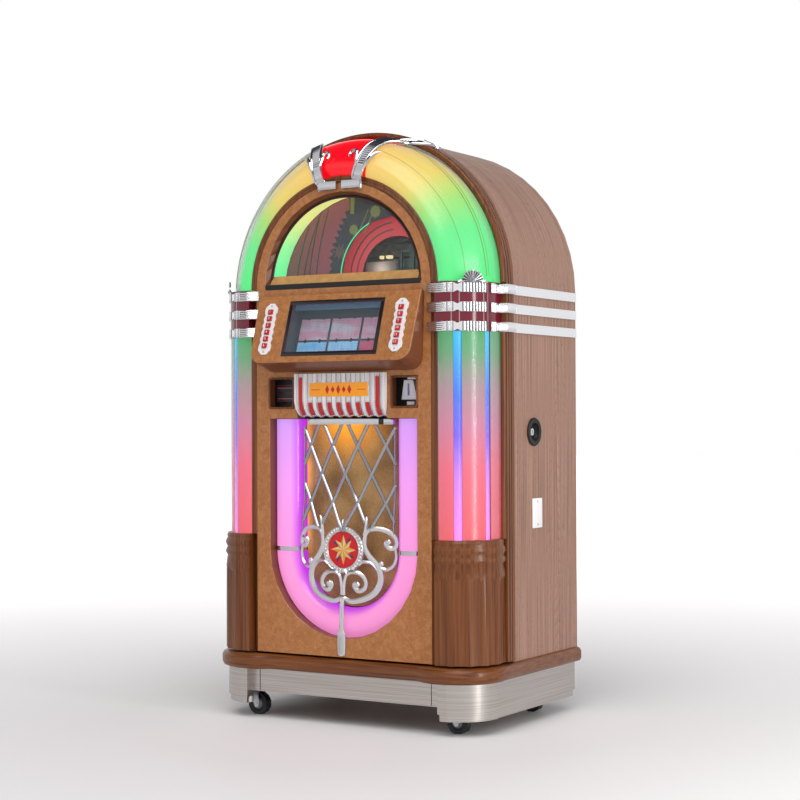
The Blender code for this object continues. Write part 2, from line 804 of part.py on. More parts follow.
def lock_hole():
    hole = lathe([(0, 0), (LOCK_BODY_RADIUS + FIT, 0),
                  (LOCK_BODY_RADIUS + FIT, 2 * CABINET_WALL), (0, 2 * CABINET_WALL)],
                 LOCK_STEPS)
    return shifted(to_x_axis(hole), CABINET_HALF - 1.5 * CABINET_WALL, LOCK_Y, LOCK_Z)


def cabinet_shell():
    outer = arch_outline(CABINET_HALF, FLOOR_Z)
    inner = arch_outline(CABINET_HALF - CABINET_WALL, FLOOR_Z)
    shell = along_y(outer + inner[::-1], CABINET_FRONT_Y, CABINET_BACK_Y)
    reach = CABINET_HALF - CABINET_WALL + OVERRUN
    shelf = box(-reach, reach, SHELF_FRONT_Y,
                CABINET_BACK_Y - BACK_INSET - BACK_THICKNESS - FIT,
                SHELF_TOP_Z - SHELF_THICKNESS, SHELF_TOP_Z)
    strips = []
    for index in range(BAND_COUNT):
        top = BAND_TOP_Z - BAND_PITCH * index
        for side in (-1, 1):
            near = side * (CABINET_HALF - OVERRUN)
            far = side * (CABINET_HALF + STRIP_THICKNESS)
            strips.append(box(min(near, far), max(near, far),
                              CABINET_FRONT_Y + BAND_EDGE, CABINET_BACK_Y - BAND_EDGE,
                              top - BAND_HEIGHT, top))
    return cut(fuse(shell, shelf, *strips), lock_hole())


def base_outline(inset):
    """Plan of the base moulding, drawn in by inset; the rear edge stays."""
    radius = BASE_LOBE_RADIUS - inset
    front = BASE_FRONT_Y + inset
    side = BASE_SIDE_X - inset
    start = -math.pi + math.asin((BASE_LOBE_Y - front) / radius)
    end = math.acos(max(-1, min(1, (side - BASE_LOBE_X) / radius)))
    right = []
    for step in range(BASE_LOBE_STEPS + 1):
        turn = start + (end - start) * step / BASE_LOBE_STEPS
        right.append((BASE_LOBE_X + radius * math.cos(turn),
                      BASE_LOBE_Y + radius * math.sin(turn)))
    right.append((side, CABINET_BACK_Y))
    return right + [(-x, y) for x, y in reversed(right)]


def base_board():
    height = BASE_TOP_Z - BASE_BOTTOM_Z
    rings = []
    for rise, inset in BASE_NOSE_SHARES:
        rings.append([(x, y, BASE_BOTTOM_Z + height * rise)
                      for x, y in base_outline(BASE_NOSE * inset)])
    board = loft(rings)
    blocks, bores = [], []
    for x, y in caster_places().values():
        blocks.append(box(x - CASTER_BLOCK_HALF, x + CASTER_BLOCK_HALF,
                          y - CASTER_BLOCK_HALF, y + CASTER_BLOCK_HALF,
                          CASTER_BLOCK_Z, BASE_BOTTOM_Z + OVERRUN))
        bore = CASTER_STEM_RADIUS + FIT
        depth = CASTER_STEM_LENGTH + FIT
        bores.append(shifted(lathe([(0, -OVERRUN), (bore, -OVERRUN), (bore, depth),
                                    (0, depth)], WHEEL_STEPS), x, y, CASTER_BLOCK_Z))
    return cut(fuse(board, *blocks), *bores)


def plinth_outline(inset):
    """Plan of the plinth: rounded feet at the front, straight kick plates between."""
    radius = PLINTH_LOBE_RADIUS - inset
    foot = PLINTH_FOOT_X + inset
    side = PLINTH_SIDE_X - inset
    start = -math.acos((foot - BASE_LOBE_X) / radius)
    points = [(foot, PLINTH_KICK_Y + inset)]
    for step in range(PLINTH_STEPS + 1):
        turn = start * (1 - step / PLINTH_STEPS)
        points.append((BASE_LOBE_X + radius * math.cos(turn),
                       BASE_LOBE_Y + radius * math.sin(turn)))
    points += [(BASE_LOBE_X + radius, PLINTH_SIDE_Y), (side, PLINTH_SIDE_Y),
               (side, PLINTH_BACK_Y - inset)]
    return points + [(-x, y) for x, y in reversed(points)]


def steel_plinth():
    top = BASE_BOTTOM_Z - FIT
    skirt = along_z(plinth_outline(0), PLINTH_TIER_Z, top)
    tier = along_z(plinth_outline(PLINTH_TIER_INSET), PLINTH_BOTTOM_Z,
                   PLINTH_TIER_Z + OVERRUN)
    hollow = along_z(plinth_outline(PLINTH_TIER_INSET + PLINTH_SHEET),
                     PLINTH_BOTTOM_Z - OVERRUN, PLINTH_TIER_Z + 2 * OVERRUN)
    wider = along_z(plinth_outline(PLINTH_SHEET), PLINTH_TIER_Z + OVERRUN, top + OVERRUN)
    gap = box(-PLINTH_FOOT_X, PLINTH_FOOT_X, PLINTH_KICK_Y - OVERRUN,
              PLINTH_KICK_Y + PLINTH_TIER_INSET + PLINTH_SHEET + OVERRUN,
              PLINTH_BOTTOM_Z - OVERRUN, PLINTH_KICK_Z)
    return cut(fuse(skirt, tier), hollow, wider, gap)


def back_panel():
    back = CABINET_BACK_Y - BACK_INSET
    half = CABINET_HALF - CABINET_WALL - FIT
    panel = along_y(arch_outline(half, FLOOR_Z + FIT), back - BACK_THICKNESS, back)
    vents = []
    for low in (VENT_LOW_Z, VENT_HIGH_Z):
        for index in range(VENT_COUNT):
            z = low + VENT_PITCH * index
            vents.append(box(-VENT_HALF, VENT_HALF, back - BACK_THICKNESS - OVERRUN,
                             back + OVERRUN, z, z + VENT_HEIGHT))
    return cut(panel, *vents)


def lock_housing():
    """Turned ring and sleeve with a deep cup round the lock's barrel."""
    bore = BARREL_RADIUS + FIT
    ring = [(bore, -LOCK_BODY_LENGTH), (LOCK_BODY_RADIUS, -LOCK_BODY_LENGTH),
            (LOCK_BODY_RADIUS, FIT), (LOCK_RADIUS, FIT),
            (LOCK_RADIUS, LOCK_PROUD - BAND_EDGE_DROP),
            (LOCK_RADIUS - BAND_EDGE_DROP, LOCK_PROUD),
            (LOCK_CUP_RADIUS + LOCK_PROUD, LOCK_PROUD),
            (LOCK_CUP_RADIUS, LOCK_PROUD - LOCK_CUP_DEPTH),
            (bore, LOCK_PROUD - LOCK_CUP_DEPTH)]
    return shifted(to_x_axis(lathe(ring, LOCK_STEPS)), CABINET_HALF, LOCK_Y, LOCK_Z)


def lock_barrel():
    """Barrel with its keyway, and the cam screwed to its inner end."""
    inner = -LOCK_BODY_LENGTH - FIT
    front = LOCK_PROUD - LOCK_CUP_DEPTH + BARREL_PROUD
    barrel = lathe([(0, inner - CAM_THICKNESS / 2), (BARREL_RADIUS, inner - CAM_THICKNESS / 2),
                    (BARREL_RADIUS, front - BAND_EDGE_DROP),
                    (BARREL_RADIUS - BAND_EDGE_DROP, front), (0, front)], LOCK_STEPS)
    barrel = to_x_axis(barrel)
    cam = along_x([(CAM_HALF, BARREL_RADIUS + BAND_EDGE_DROP),
                   (-CAM_HALF, BARREL_RADIUS + BAND_EDGE_DROP),
                   (-CAM_HALF, BARREL_RADIUS - CAM_LENGTH),
                   (CAM_HALF, BARREL_RADIUS - CAM_LENGTH)],
                  inner - CAM_THICKNESS, inner)
    keyway = box(front - KEYWAY_DEPTH, front + OVERRUN, -KEYWAY_HALF, KEYWAY_HALF,
                 -KEYWAY_LENGTH_HALF, KEYWAY_LENGTH_HALF)
    return cut(fuse(barrel, cam), keyway)


# Hinge

def knuckle_spans(parity):
    """Heights of one leaf's knuckles, with a fit between neighbours."""
    pitch = (HINGE_TOP_Z - HINGE_BOTTOM_Z) / HINGE_KNUCKLES
    return [(HINGE_BOTTOM_Z + pitch * index + FIT, HINGE_BOTTOM_Z + pitch * (index + 1) - FIT)
            for index in range(HINGE_KNUCKLES) if index % 2 == parity]


def hinge_rod(radius, low, high):
    rod = lathe([(0, low), (radius, low), (radius, high), (0, high)], HINGE_STEPS)
    return shifted(rod, HINGE_X, HINGE_Y, 0)


def hinge_leaf(parity, near_y, far_y, bore):
    """A leaf with knuckles; a bore of zero makes them solid, to hold the pin."""
    plain = HINGE_X + HINGE_RADIUS + FIT
    outline = [(HINGE_LEAF_X, HINGE_BOTTOM_Z), (plain, HINGE_BOTTOM_Z)]
    knuckles = []
    for low, high in knuckle_spans(parity):
        outline += [(plain, low), (HINGE_X, low), (HINGE_X, high), (plain, high)]
        knuckles.append(hinge_rod(HINGE_RADIUS, low, high))
    outline += [(plain, HINGE_TOP_Z), (HINGE_LEAF_X, HINGE_TOP_Z)]
    outline = list(dict.fromkeys(outline))
    leaf = fuse(along_y(outline, near_y, far_y), *knuckles)
    if bore:
        return cut(leaf, hinge_rod(bore, HINGE_BOTTOM_Z, HINGE_TOP_Z))
    spans = knuckle_spans(parity)
    return fuse(leaf, hinge_rod(HINGE_PIN_RADIUS, spans[0][0] + OVERRUN,
                                spans[-1][1] - OVERRUN))


def cabinet_hinge_leaf():
    back = CABINET_FRONT_Y - FIT
    return hinge_leaf(0, back - HINGE_LEAF, back, 0)


def door_hinge_leaf():
    front = DOOR_BACK_Y + FIT
    return hinge_leaf(1, front, front + HINGE_LEAF, HINGE_PIN_RADIUS + FIT)


# Casters

def caster_places():
    return {"front_left": (-CASTER_X, CASTER_FRONT_Y), "front_right": (CASTER_X, CASTER_FRONT_Y),
            "rear_left": (-CASTER_X, CASTER_REAR_Y), "rear_right": (CASTER_X, CASTER_REAR_Y)}


def caster_fork(trail):
    """Stem, plate, two legs and the axle; the wheel trails towards trail on X."""
    top = CASTER_BLOCK_Z - FIT
    low = top - CASTER_PLATE
    plate = lathe([(0, low), (CASTER_PLATE_RADIUS, low), (CASTER_PLATE_RADIUS, top),
                   (CASTER_STEM_RADIUS, top), (CASTER_STEM_RADIUS, top + CASTER_STEM_LENGTH),
                   (0, top + CASTER_STEM_LENGTH)], WHEEL_STEPS)
    foot = WHEEL_Z - CASTER_LEG_FOOT_HALF
    outline = [(-CASTER_LEG_TOP_HALF, low + OVERRUN), (trail - CASTER_LEG_FOOT_HALF, WHEEL_Z),
               (trail - CASTER_LEG_FOOT_HALF / 2, foot), (trail + CASTER_LEG_FOOT_HALF / 2, foot),
               (trail + CASTER_LEG_FOOT_HALF, WHEEL_Z), (CASTER_LEG_TOP_HALF, low + OVERRUN)]
    legs = [along_y(outline, side, side + CASTER_LEG)
            for side in (CASTER_LEG_GAP, -CASTER_LEG_GAP - CASTER_LEG)]
    reach = CASTER_LEG_GAP + CASTER_LEG + OVERRUN
    axle = to_y_axis(lathe([(0, -reach), (AXLE_RADIUS, -reach), (AXLE_RADIUS, reach),
                            (0, reach)], HINGE_STEPS))
    return fuse(plate, *legs, shifted(axle, trail, 0, WHEEL_Z))


def caster_wheel():
    """Hub, rim and rounded tyre as one turned ring about its axle."""
    half = [(AXLE_RADIUS + FIT, WHEEL_HUB_HALF), (WHEEL_HUB_RADIUS, WHEEL_HUB_HALF),
            (WHEEL_RIM_RADIUS, WHEEL_HALF_WIDTH - WHEEL_SHOULDER),
            (WHEEL_RADIUS, WHEEL_HALF_WIDTH)]
    profile = half + [(radius, -height) for radius, height in reversed(half)]
    return to_y_axis(lathe(profile, WHEEL_STEPS, math.pi / WHEEL_STEPS))


# Mechanism behind the window

def mechanism_frame():
    """Bed plate, spindle, arm post and a bridge that carries the player deck."""
    bed_top = SHELF_TOP_Z + FIT + MECH_PLATE
    bed = box(-MECH_HALF_X, MECH_HALF_X, MECH_FRONT_Y, MECH_BACK_Y,
              SHELF_TOP_Z + FIT, bed_top)
    spindle = shifted(lathe([(0, bed_top - OVERRUN), (SPINDLE_RADIUS, bed_top - OVERRUN),
                             (SPINDLE_RADIUS, SPINDLE_TOP_Z), (0, SPINDLE_TOP_Z)],
                            ARM_STEPS), 0, MECH_Y, 0)
    shoulder = ARM_LOW_Z - FIT
    post = shifted(lathe([(0, bed_top - OVERRUN), (ARM_POST_RADIUS, bed_top - OVERRUN),
                          (ARM_POST_RADIUS, shoulder), (ARM_PIN_RADIUS, shoulder),
                          (ARM_PIN_RADIUS, ARM_HIGH_Z + OVERRUN), (0, ARM_HIGH_Z + OVERRUN)],
                         ARM_STEPS), ARM_X, MECH_Y, 0)
    outer = MECH_HALF_X - OVERRUN
    columns = [box(left, left + COLUMN_THICKNESS, COLUMN_FRONT_Y, COLUMN_BACK_Y,
                   bed_top - OVERRUN, BEAM_LOW_Z + OVERRUN)
               for left in (-outer, outer - COLUMN_THICKNESS)]
    beam = box(-MECH_HALF_X, MECH_HALF_X, COLUMN_FRONT_Y - OVERRUN,
               COLUMN_BACK_Y + OVERRUN, BEAM_LOW_Z, BEAM_HIGH_Z)
    low = BEAM_HIGH_Z - OVERRUN
    deck = along_y([(DECK_LEFT_X, low), (DECK_RIGHT_X, low),
                    (DECK_RIGHT_X, DECK_TOP_Z - DECK_SHOULDER / 2),
                    (DECK_RIGHT_X - DECK_SHOULDER / 2, DECK_TOP_Z),
                    (DECK_LEFT_X + DECK_SHOULDER, DECK_TOP_Z),
                    (DECK_LEFT_X + DECK_SHOULDER / 3, DECK_TOP_Z - DECK_SHOULDER / 3),
                    (DECK_LEFT_X, DECK_TOP_Z - DECK_SHOULDER)], DECK_FRONT_Y, DECK_BACK_Y)
    middle = (DECK_LEFT_X + DECK_RIGHT_X) / 2
    slot = box(middle - DECK_SLOT_HALF, middle + DECK_SLOT_HALF, DECK_FRONT_Y - OVERRUN,
               DECK_FRONT_Y + 2 * DECK_WALL, DECK_SLOT_Z, DECK_SLOT_Z + DECK_SLOT_TALL)
    hollow = box(DECK_LEFT_X + DECK_WALL, DECK_RIGHT_X - DECK_WALL, DECK_FRONT_Y + DECK_WALL,
                 DECK_BACK_Y + OVERRUN, BEAM_HIGH_Z + DECK_WALL, DECK_TOP_Z - DECK_SHOULDER)
    return cut(fuse(bed, spindle, post, *columns, beam, deck), slot, hollow)


def disc_carousel():
    """A hub with discs standing on edge round it, on a round plate."""
    low = SHELF_TOP_Z + MECH_PLATE + 2 * FIT
    star = []
    for index in range(DISC_COUNT):
        turn = 2 * math.pi * index / DISC_COUNT
        ahead = Vector((math.cos(turn), math.sin(turn)))
        side = Vector((-ahead.y, ahead.x)) * (DISC_THICKNESS / 2)
        reach = DISC_RING + DISC_RADIUS + OVERRUN
        for point in (ahead * CAROUSEL_CORE_RADIUS - side, ahead * reach - side,
                      ahead * reach + side, ahead * CAROUSEL_CORE_RADIUS + side):
            star.append((point.x, point.y))
    fins = along_z(star, DISC_Z - DISC_RADIUS - OVERRUN, DISC_Z + DISC_RADIUS + OVERRUN)
    circle = []
    for step in range(DISC_STEPS):
        turn = 2 * math.pi * (step + 0.5) / DISC_STEPS
        circle.append((DISC_RING + DISC_RADIUS * math.cos(turn),
                       DISC_Z + DISC_RADIUS * math.sin(turn)))
    discs = overlap(fins, lathe(circle, CAROUSEL_STEPS, math.pi / DISC_COUNT))
    plate_top = low + CAROUSEL_PLATE
    top = DISC_Z + DISC_RADIUS / 2
    plate = lathe([(0, low), (CAROUSEL_PLATE_RADIUS, low), (CAROUSEL_PLATE_RADIUS, plate_top),
                   (CAROUSEL_HUB + CAROUSEL_PLATE, plate_top), (CAROUSEL_HUB, top),
                   (0, top)], CAROUSEL_STEPS)
    bore = lathe([(0, low - OVERRUN), (SPINDLE_RADIUS + FIT, low - OVERRUN),
                  (SPINDLE_RADIUS + FIT, top + OVERRUN), (0, top + OVERRUN)], ARM_STEPS)
    carousel = cut(fuse(plate, discs), bore)
    return shifted(carousel, 0, MECH_Y, 0)


def transfer_arm():
    """Hub on the arm post, a beam and a jaw ring, pointing back when parked."""
    hub = lathe([(ARM_PIN_RADIUS + FIT, ARM_LOW_Z), (ARM_HUB_RADIUS, ARM_LOW_Z),
                 (ARM_HUB_RADIUS, ARM_HIGH_Z), (ARM_PIN_RADIUS + FIT, ARM_HIGH_Z)], ARM_STEPS)
    beam = box(-ARM_HALF, ARM_HALF, ARM_HUB_RADIUS - OVERRUN,
               ARM_LENGTH - ARM_JAW_RADIUS + OVERRUN, ARM_LOW_Z + OVERRUN,
               ARM_LOW_Z + OVERRUN + ARM_THICKNESS)
    inner = ARM_JAW_RADIUS - ARM_JAW_WALL
    jaw = lathe([(inner, ARM_LOW_Z), (ARM_JAW_RADIUS, ARM_LOW_Z),
                 (ARM_JAW_RADIUS, ARM_HIGH_Z), (inner, ARM_HIGH_Z)], ARM_STEPS)
    jaw = shifted(jaw, 0, ARM_LENGTH, 0)
    mouth = box(-ARM_HALF, ARM_HALF, ARM_LENGTH + inner - OVERRUN,
                ARM_LENGTH + ARM_JAW_RADIUS + OVERRUN, ARM_LOW_Z - OVERRUN,
                ARM_HIGH_Z + OVERRUN)
    return shifted(cut(fuse(hub, beam, jaw), mouth), ARM_X, MECH_Y, 0)


def amplifier():
    """Chassis with a finned heat sink and the mains transformer on top."""
    low = FLOOR_Z
    top = low + AMPLIFIER_HEIGHT
    chassis = box(AMPLIFIER_LEFT_X, AMPLIFIER_RIGHT_X, AMPLIFIER_FRONT_Y, AMPLIFIER_BACK_Y,
                  low, top)
    fins = []
    width = FIN_PITCH * (FIN_COUNT - 1) + FIN_THICKNESS
    left = AMPLIFIER_LEFT_X + FIN_PITCH
    comb = [(left, top - OVERRUN), (left + width, top - OVERRUN)]
    for index in reversed(range(FIN_COUNT)):
        edge = left + FIN_PITCH * index
        fins += [(edge + FIN_THICKNESS, top + FIN_BASE), (edge + FIN_THICKNESS, top + FIN_HEIGHT),
                 (edge, top + FIN_HEIGHT), (edge, top + FIN_BASE)]
    sink = along_y(comb + fins, AMPLIFIER_FRONT_Y + FIN_PITCH, AMPLIFIER_BACK_Y - FIN_PITCH)
    middle = (AMPLIFIER_FRONT_Y + AMPLIFIER_BACK_Y) / 2
    transformer = box(TRANSFORMER_X - TRANSFORMER_HALF, TRANSFORMER_X + TRANSFORMER_HALF,
                      middle - TRANSFORMER_HALF, middle + TRANSFORMER_HALF,
                      top - OVERRUN, top + TRANSFORMER_HEIGHT)
    hollow = box(AMPLIFIER_LEFT_X + AMPLIFIER_SHEET, AMPLIFIER_RIGHT_X - AMPLIFIER_SHEET,
                 AMPLIFIER_FRONT_Y + AMPLIFIER_SHEET, AMPLIFIER_BACK_Y - AMPLIFIER_SHEET,
                 low - OVERRUN, top - 2 * AMPLIFIER_SHEET)
    return cut(fuse(chassis, sink, transformer), hollow)


# Door carcass

def door_frame():
    """Bevelled moulding, web and ribbed rim, swept up the sides and over the arch."""
    section = [(MOULDING_INNER, 0), (MOULDING_OUTER, MOULDING_BEVEL),
               (MOULDING_OUTER, WEB_Y), (LENS_SIDE + FIT, WEB_Y),
               (LENS_SIDE + FIT, RIB_FRONT_Y)]
    pitch = (DOOR_BACK_Y - RIB_FRONT_Y) / RIB_COUNT
    groove = pitch * RIB_GROOVE_SHARE
    for index in range(RIB_COUNT):
        start = RIB_FRONT_Y + pitch * index
        section += [(RIB_OUTER, start), (RIB_OUTER, start + pitch - groove)]
        if index < RIB_COUNT - 1:
            section += [(RIB_OUTER - RIB_GROOVE, start + pitch - groove),
                        (RIB_OUTER - RIB_GROOVE, start + pitch)]
    inner = MOULDING_INNER - MOULDING_LEDGE
    section += [(RIB_OUTER, DOOR_BACK_Y), (inner, DOOR_BACK_Y), (inner, FRAME_LEDGE_Y),
                (MOULDING_INNER, FRAME_LEDGE_Y)]
    rings = [[(-radius, y, DOOR_BOTTOM_Z) for radius, y in section]]
    rings += [arch_ring(section, turn) for turn in arch_stations()]
    rings.append([(radius, y, DOOR_BOTTOM_Z) for radius, y in section])
    rail = box(-inner - OVERRUN, inner + OVERRUN, FRAME_LEDGE_Y, DOOR_BACK_Y,
               DOOR_BOTTOM_Z, RAIL_TOP_Z)
    return fuse(loft(rings), rail)


def window_outline(radius, bottom):
    """A half circle about the window's middle, trimmed level at the bottom."""
    lift = math.asin((bottom - WINDOW_Z) / radius)
    points = []
    for step in range(WINDOW_STEPS + 1):
        turn = lift + (math.pi - 2 * lift) * step / WINDOW_STEPS
        points.append((-radius * math.cos(turn), WINDOW_Z + radius * math.sin(turn)))
    return points


def ring_at(outline, y):
    return [(x, y, z) for x, z in outline]


def square_cut(x, half, z, tall):
    """A cutter through the panel with softened front edges."""
    grow = CUT_EDGE + OVERRUN
    wide = rectangle(x - half - grow, x + half + grow, z - tall - grow, z + tall + grow)
    plain = rectangle(x - half, x + half, z - tall, z + tall)
    return loft([ring_at(wide, -OVERRUN), ring_at(plain, CUT_EDGE),
                 ring_at(plain, PANEL_BACK_Y + OVERRUN)])


def door_panel():
    """Burl board with its window, selector, coin, note and grille openings."""
    panel = along_y(arch_outline(PANEL_HALF, DOOR_BOTTOM_Z), 0, PANEL_BACK_Y)
    spread = (WINDOW_RADIUS - REVEAL_RADIUS) / REVEAL_Y * OVERRUN
    drop = (REVEAL_Z - WINDOW_Z) / REVEAL_Y * OVERRUN
    window = loft([ring_at(window_outline(WINDOW_RADIUS + spread, WINDOW_Z - drop), -OVERRUN),
                   ring_at(window_outline(REVEAL_RADIUS, REVEAL_Z), REVEAL_Y + OVERRUN / 2)])
    rebate = along_y(window_outline(REVEAL_RADIUS + GLASS_LEDGE, REVEAL_Z - GLASS_LEDGE),
                     REVEAL_Y, PANEL_BACK_Y + OVERRUN)
    grow = CUT_EDGE + OVERRUN
    wide = u_outline(GRILLE_HALF + grow, GRILLE_TOP_Z + grow, GRILLE_Z)
    plain = u_outline(GRILLE_HALF, GRILLE_TOP_Z, GRILLE_Z)
    grille = loft([ring_at(wide, -OVERRUN), ring_at(plain, CUT_EDGE),
                   ring_at(plain, PANEL_BACK_Y + OVERRUN)])
    notch = box(-NAME_FOOT_HALF - NAME_NOTCH_MARGIN, NAME_FOOT_HALF + NAME_NOTCH_MARGIN,
                -OVERRUN, PANEL_BACK_Y + OVERRUN, GRILLE_TOP_Z - OVERRUN, NAME_NOTCH_Z)
    selector = box(-SELECTOR_HOLE_HALF, SELECTOR_HOLE_HALF, -OVERRUN,
                   PANEL_BACK_Y + OVERRUN, SELECTOR_HOLE_LOW_Z, SELECTOR_HOLE_HIGH_Z)
    recesses = [square_cut(side * RECESS_X, RECESS_HALF, RECESS_Z, RECESS_HALF)
                for side in (-1, 1)]
    return cut(panel, window, rebate, grille, notch, selector, *recesses)


def window_glass():
    outline = window_outline(REVEAL_RADIUS + GLASS_LEDGE - FIT, REVEAL_Z - GLASS_LEDGE + FIT)
    front = REVEAL_Y + FIT
    return along_y(outline, front, front + GLASS_THICKNESS)


def view_outline():
    """(x, z) points of the round view, kept inside the tray's arch and off its floor."""
    limit, floor = TRAY_INNER - ARC_MARGIN, TRAY_FLOOR_Z + ARC_FLOOR
    points = []
    for step in range(SPEAKER_STEPS):
        turn = -2 * math.pi * step / SPEAKER_STEPS
        x = ARC_X + ARC_RADIUS * math.cos(turn)
        rise = ARC_Z + ARC_RADIUS * math.sin(turn) - ARCH_Z
        inside = min(1, limit / math.hypot(x, rise))
        points.append((x * inside, max(ARCH_Z + rise * inside, floor)))
    return points


def window_backdrop():
    """Arched tray behind the window; its back has a round view of the mechanism."""
    front = FRAME_LEDGE_Y + FIT
    back = TRAY_BACK_Y + TRAY_WALL
    tray = along_y(arch_outline(TRAY_INNER + TRAY_WALL, TRAY_FLOOR_Z - TRAY_WALL), front, back)
    hollow = along_y(arch_outline(TRAY_INNER, TRAY_FLOOR_Z), front - OVERRUN, TRAY_BACK_Y)
    view = along_y(view_outline(), TRAY_BACK_Y - TRAY_WALL, back + TRAY_WALL)
    return cut(tray, hollow, view)


# Plastics, bands and crest

def pilaster_lens():
    section = lens_section(0, LENS_WALL)
    return along_z(section, LENS_BOTTOM_Z, BAND_LOW_Z - FIT)


def arch_lens():
    """Left quarter of the arch's plastic, from the bands to the crest."""
    return arch_sweep(lens_section(0, LENS_WALL), 0, CREST_STEP)


def crest_lens():
    return arch_sweep(lens_section(-CREST_DROP, LENS_WALL), CREST_STEP,
                      ARCH_STEPS - CREST_STEP)


def band_outline(drop):
    """Closed (x, y) plan of one band, over the moulding, the lens and the ribs."""
    proud = BAND_PROUD - drop
    turns = [LENS_START * (1 - step / BAND_STEPS) for step in range(BAND_STEPS + 1)]
    rib = RIB_OUTER + FIT
    rib_outer = RIB_OUTER + BAND_RIB_COVER - drop
    end = DOOR_BACK_Y - FIT
    outer = [(BAND_INNER_X + drop, -BAND_INNER_PROUD + drop),
             (BAND_SHOULDER_X, -2 * BAND_INNER_PROUD + drop)]
    outer += [lens_point(turn, proud) for turn in turns[1:]]
    outer += [(LENS_SIDE + proud, RIB_FRONT_Y - BAND_RIB_COVER), (rib_outer, RIB_FRONT_Y),
              (rib_outer, end)]
    inner = [(rib, end), (rib, RIB_FRONT_Y - FIT), (LENS_SIDE - FIT, RIB_FRONT_Y - FIT)]
    inner += [lens_point(turn, -CORE_WALL / 2) for turn in reversed(turns[2::2])]
    inner += [(LENS_ROOT + CORE_WALL / 2, -FIT), (BAND_INNER_X + drop, -FIT)]
    return outer + inner


def fan_ornament():
    """A small scalloped fan standing on the top band."""
    outline = [(-FAN_ROOT_HALF, 0), (FAN_ROOT_HALF, 0)]
    rise = FAN_HEIGHT - FAN_RADIUS
    for lobe in range(FAN_LOBES):
        for share, reach in FAN_LOBE_SHARES:
            if lobe and share == 0:
                continue
            turn = math.pi * (lobe + share) / FAN_LOBES
            outline.append((FAN_RADIUS * reach * math.cos(turn),
                            rise + FAN_RADIUS * reach * math.sin(turn)))
    fan = along_y(outline, -FAN_THICKNESS / 2, FAN_THICKNESS / 2)
    fan = moved(fan, Matrix.Rotation(FAN_TURN + math.pi / 2, 4, 'Z'))
    x, y = lens_point(FAN_TURN, FAN_THICKNESS / 2 + FAN_STAND)
    return shifted(fan, x, y, BAND_TOP_Z - FAN_SINK)


def band_stack():
    """Coloured core of the right pilaster's head with its bands and the fan."""
    core = along_z(lens_section(0, CORE_WALL), BAND_LOW_Z, ARCH_Z - FIT)
    bands = []
    for index in range(BAND_COUNT):
        top = BAND_TOP_Z - BAND_PITCH * index
        low = top - BAND_HEIGHT
        levels = [(low, BAND_EDGE_DROP), (low + BAND_EDGE, 0), (top - BAND_EDGE, 0),
                  (top, BAND_EDGE_DROP)]
        bands.append(loft([[(x, y, z) for x, y in band_outline(drop)]
                           for z, drop in levels]))
    return fuse(core, *bands, fan_ornament())


def crest_stations():
    """Point on the lens, its outward direction, lean and half width along a casting."""
    stations = []
    for step, (lean, share) in enumerate(CREST_LENS_SHARES):
        turn = LENS_START * (1 - step / LENS_STEPS)
        stations.append((lens_point(turn, CREST_LIFT), (math.cos(turn), math.sin(turn)),
                         lean, CREST_FOOT_HALF * share))
    climb = RIB_OUTER - LENS_SIDE
    reach = CREST_TAIL_Y - LENS_Y
    for depth, lift, lean, share in CREST_TAIL_SHARES:
        place = (LENS_SIDE + CREST_LIFT + climb * lift, LENS_Y + reach * depth)
        stations.append((place, (1, 0), lean, CREST_FOOT_HALF * share))
    return stations


def crest_ring(radius, y, out, lean, half):
    """Ring across a casting: flat below, three rounded ribs above."""
    points = []
    for across, rise in CREST_SECTION_SHARES:
        angle = lean + across * half / radius
        height = FIT + CREST_THICKNESS * rise
        reach = radius + height * out[0]
        points.append(Vector((reach * math.sin(angle), y + height * out[1],
                              ARCH_Z + reach * math.cos(angle))))
    return points


def crest_casting():
    """Ribbed casting from a foot on the burl, over the lens, to a leaf end."""
    rings = [crest_ring(radius, 0, (0, -1), CREST_FOOT_TURN, CREST_FOOT_HALF)
             for radius in (CREST_FOOT_Z - ARCH_Z, MOULDING_INNER + OVERRUN)]
    for (radius, y), out, lean, half in crest_stations():
        rings.append(crest_ring(radius, y, out, math.radians(lean), half))
    return loft(rings)


def pilaster_outline(radius, flute):
    """Plan of the turned and fluted base: an arc, closed against the web."""
    end = math.asin((PILASTER_TOP_Y - PILASTER_Y) / radius)
    start = -math.acos((LENS_ROOT - PILASTER_X) / radius)
    places = [((index + share) / FLUTE_COUNT, depth) for index in range(FLUTE_COUNT)
              for share, depth in FLUTE_SHARES]
    places[0], places[-1] = (0, 0), (1, 0)
    points = []
    for place, depth in places:
        turn = start + (end - start) * place
        reach = radius - flute * depth
        points.append((PILASTER_X + reach * math.cos(turn),
                       PILASTER_Y + reach * math.sin(turn)))
    points += [(LENS_SIDE, PILASTER_TOP_Y), (LENS_SIDE, LENS_BACK_Y), (LENS_ROOT, LENS_BACK_Y)]
    return points


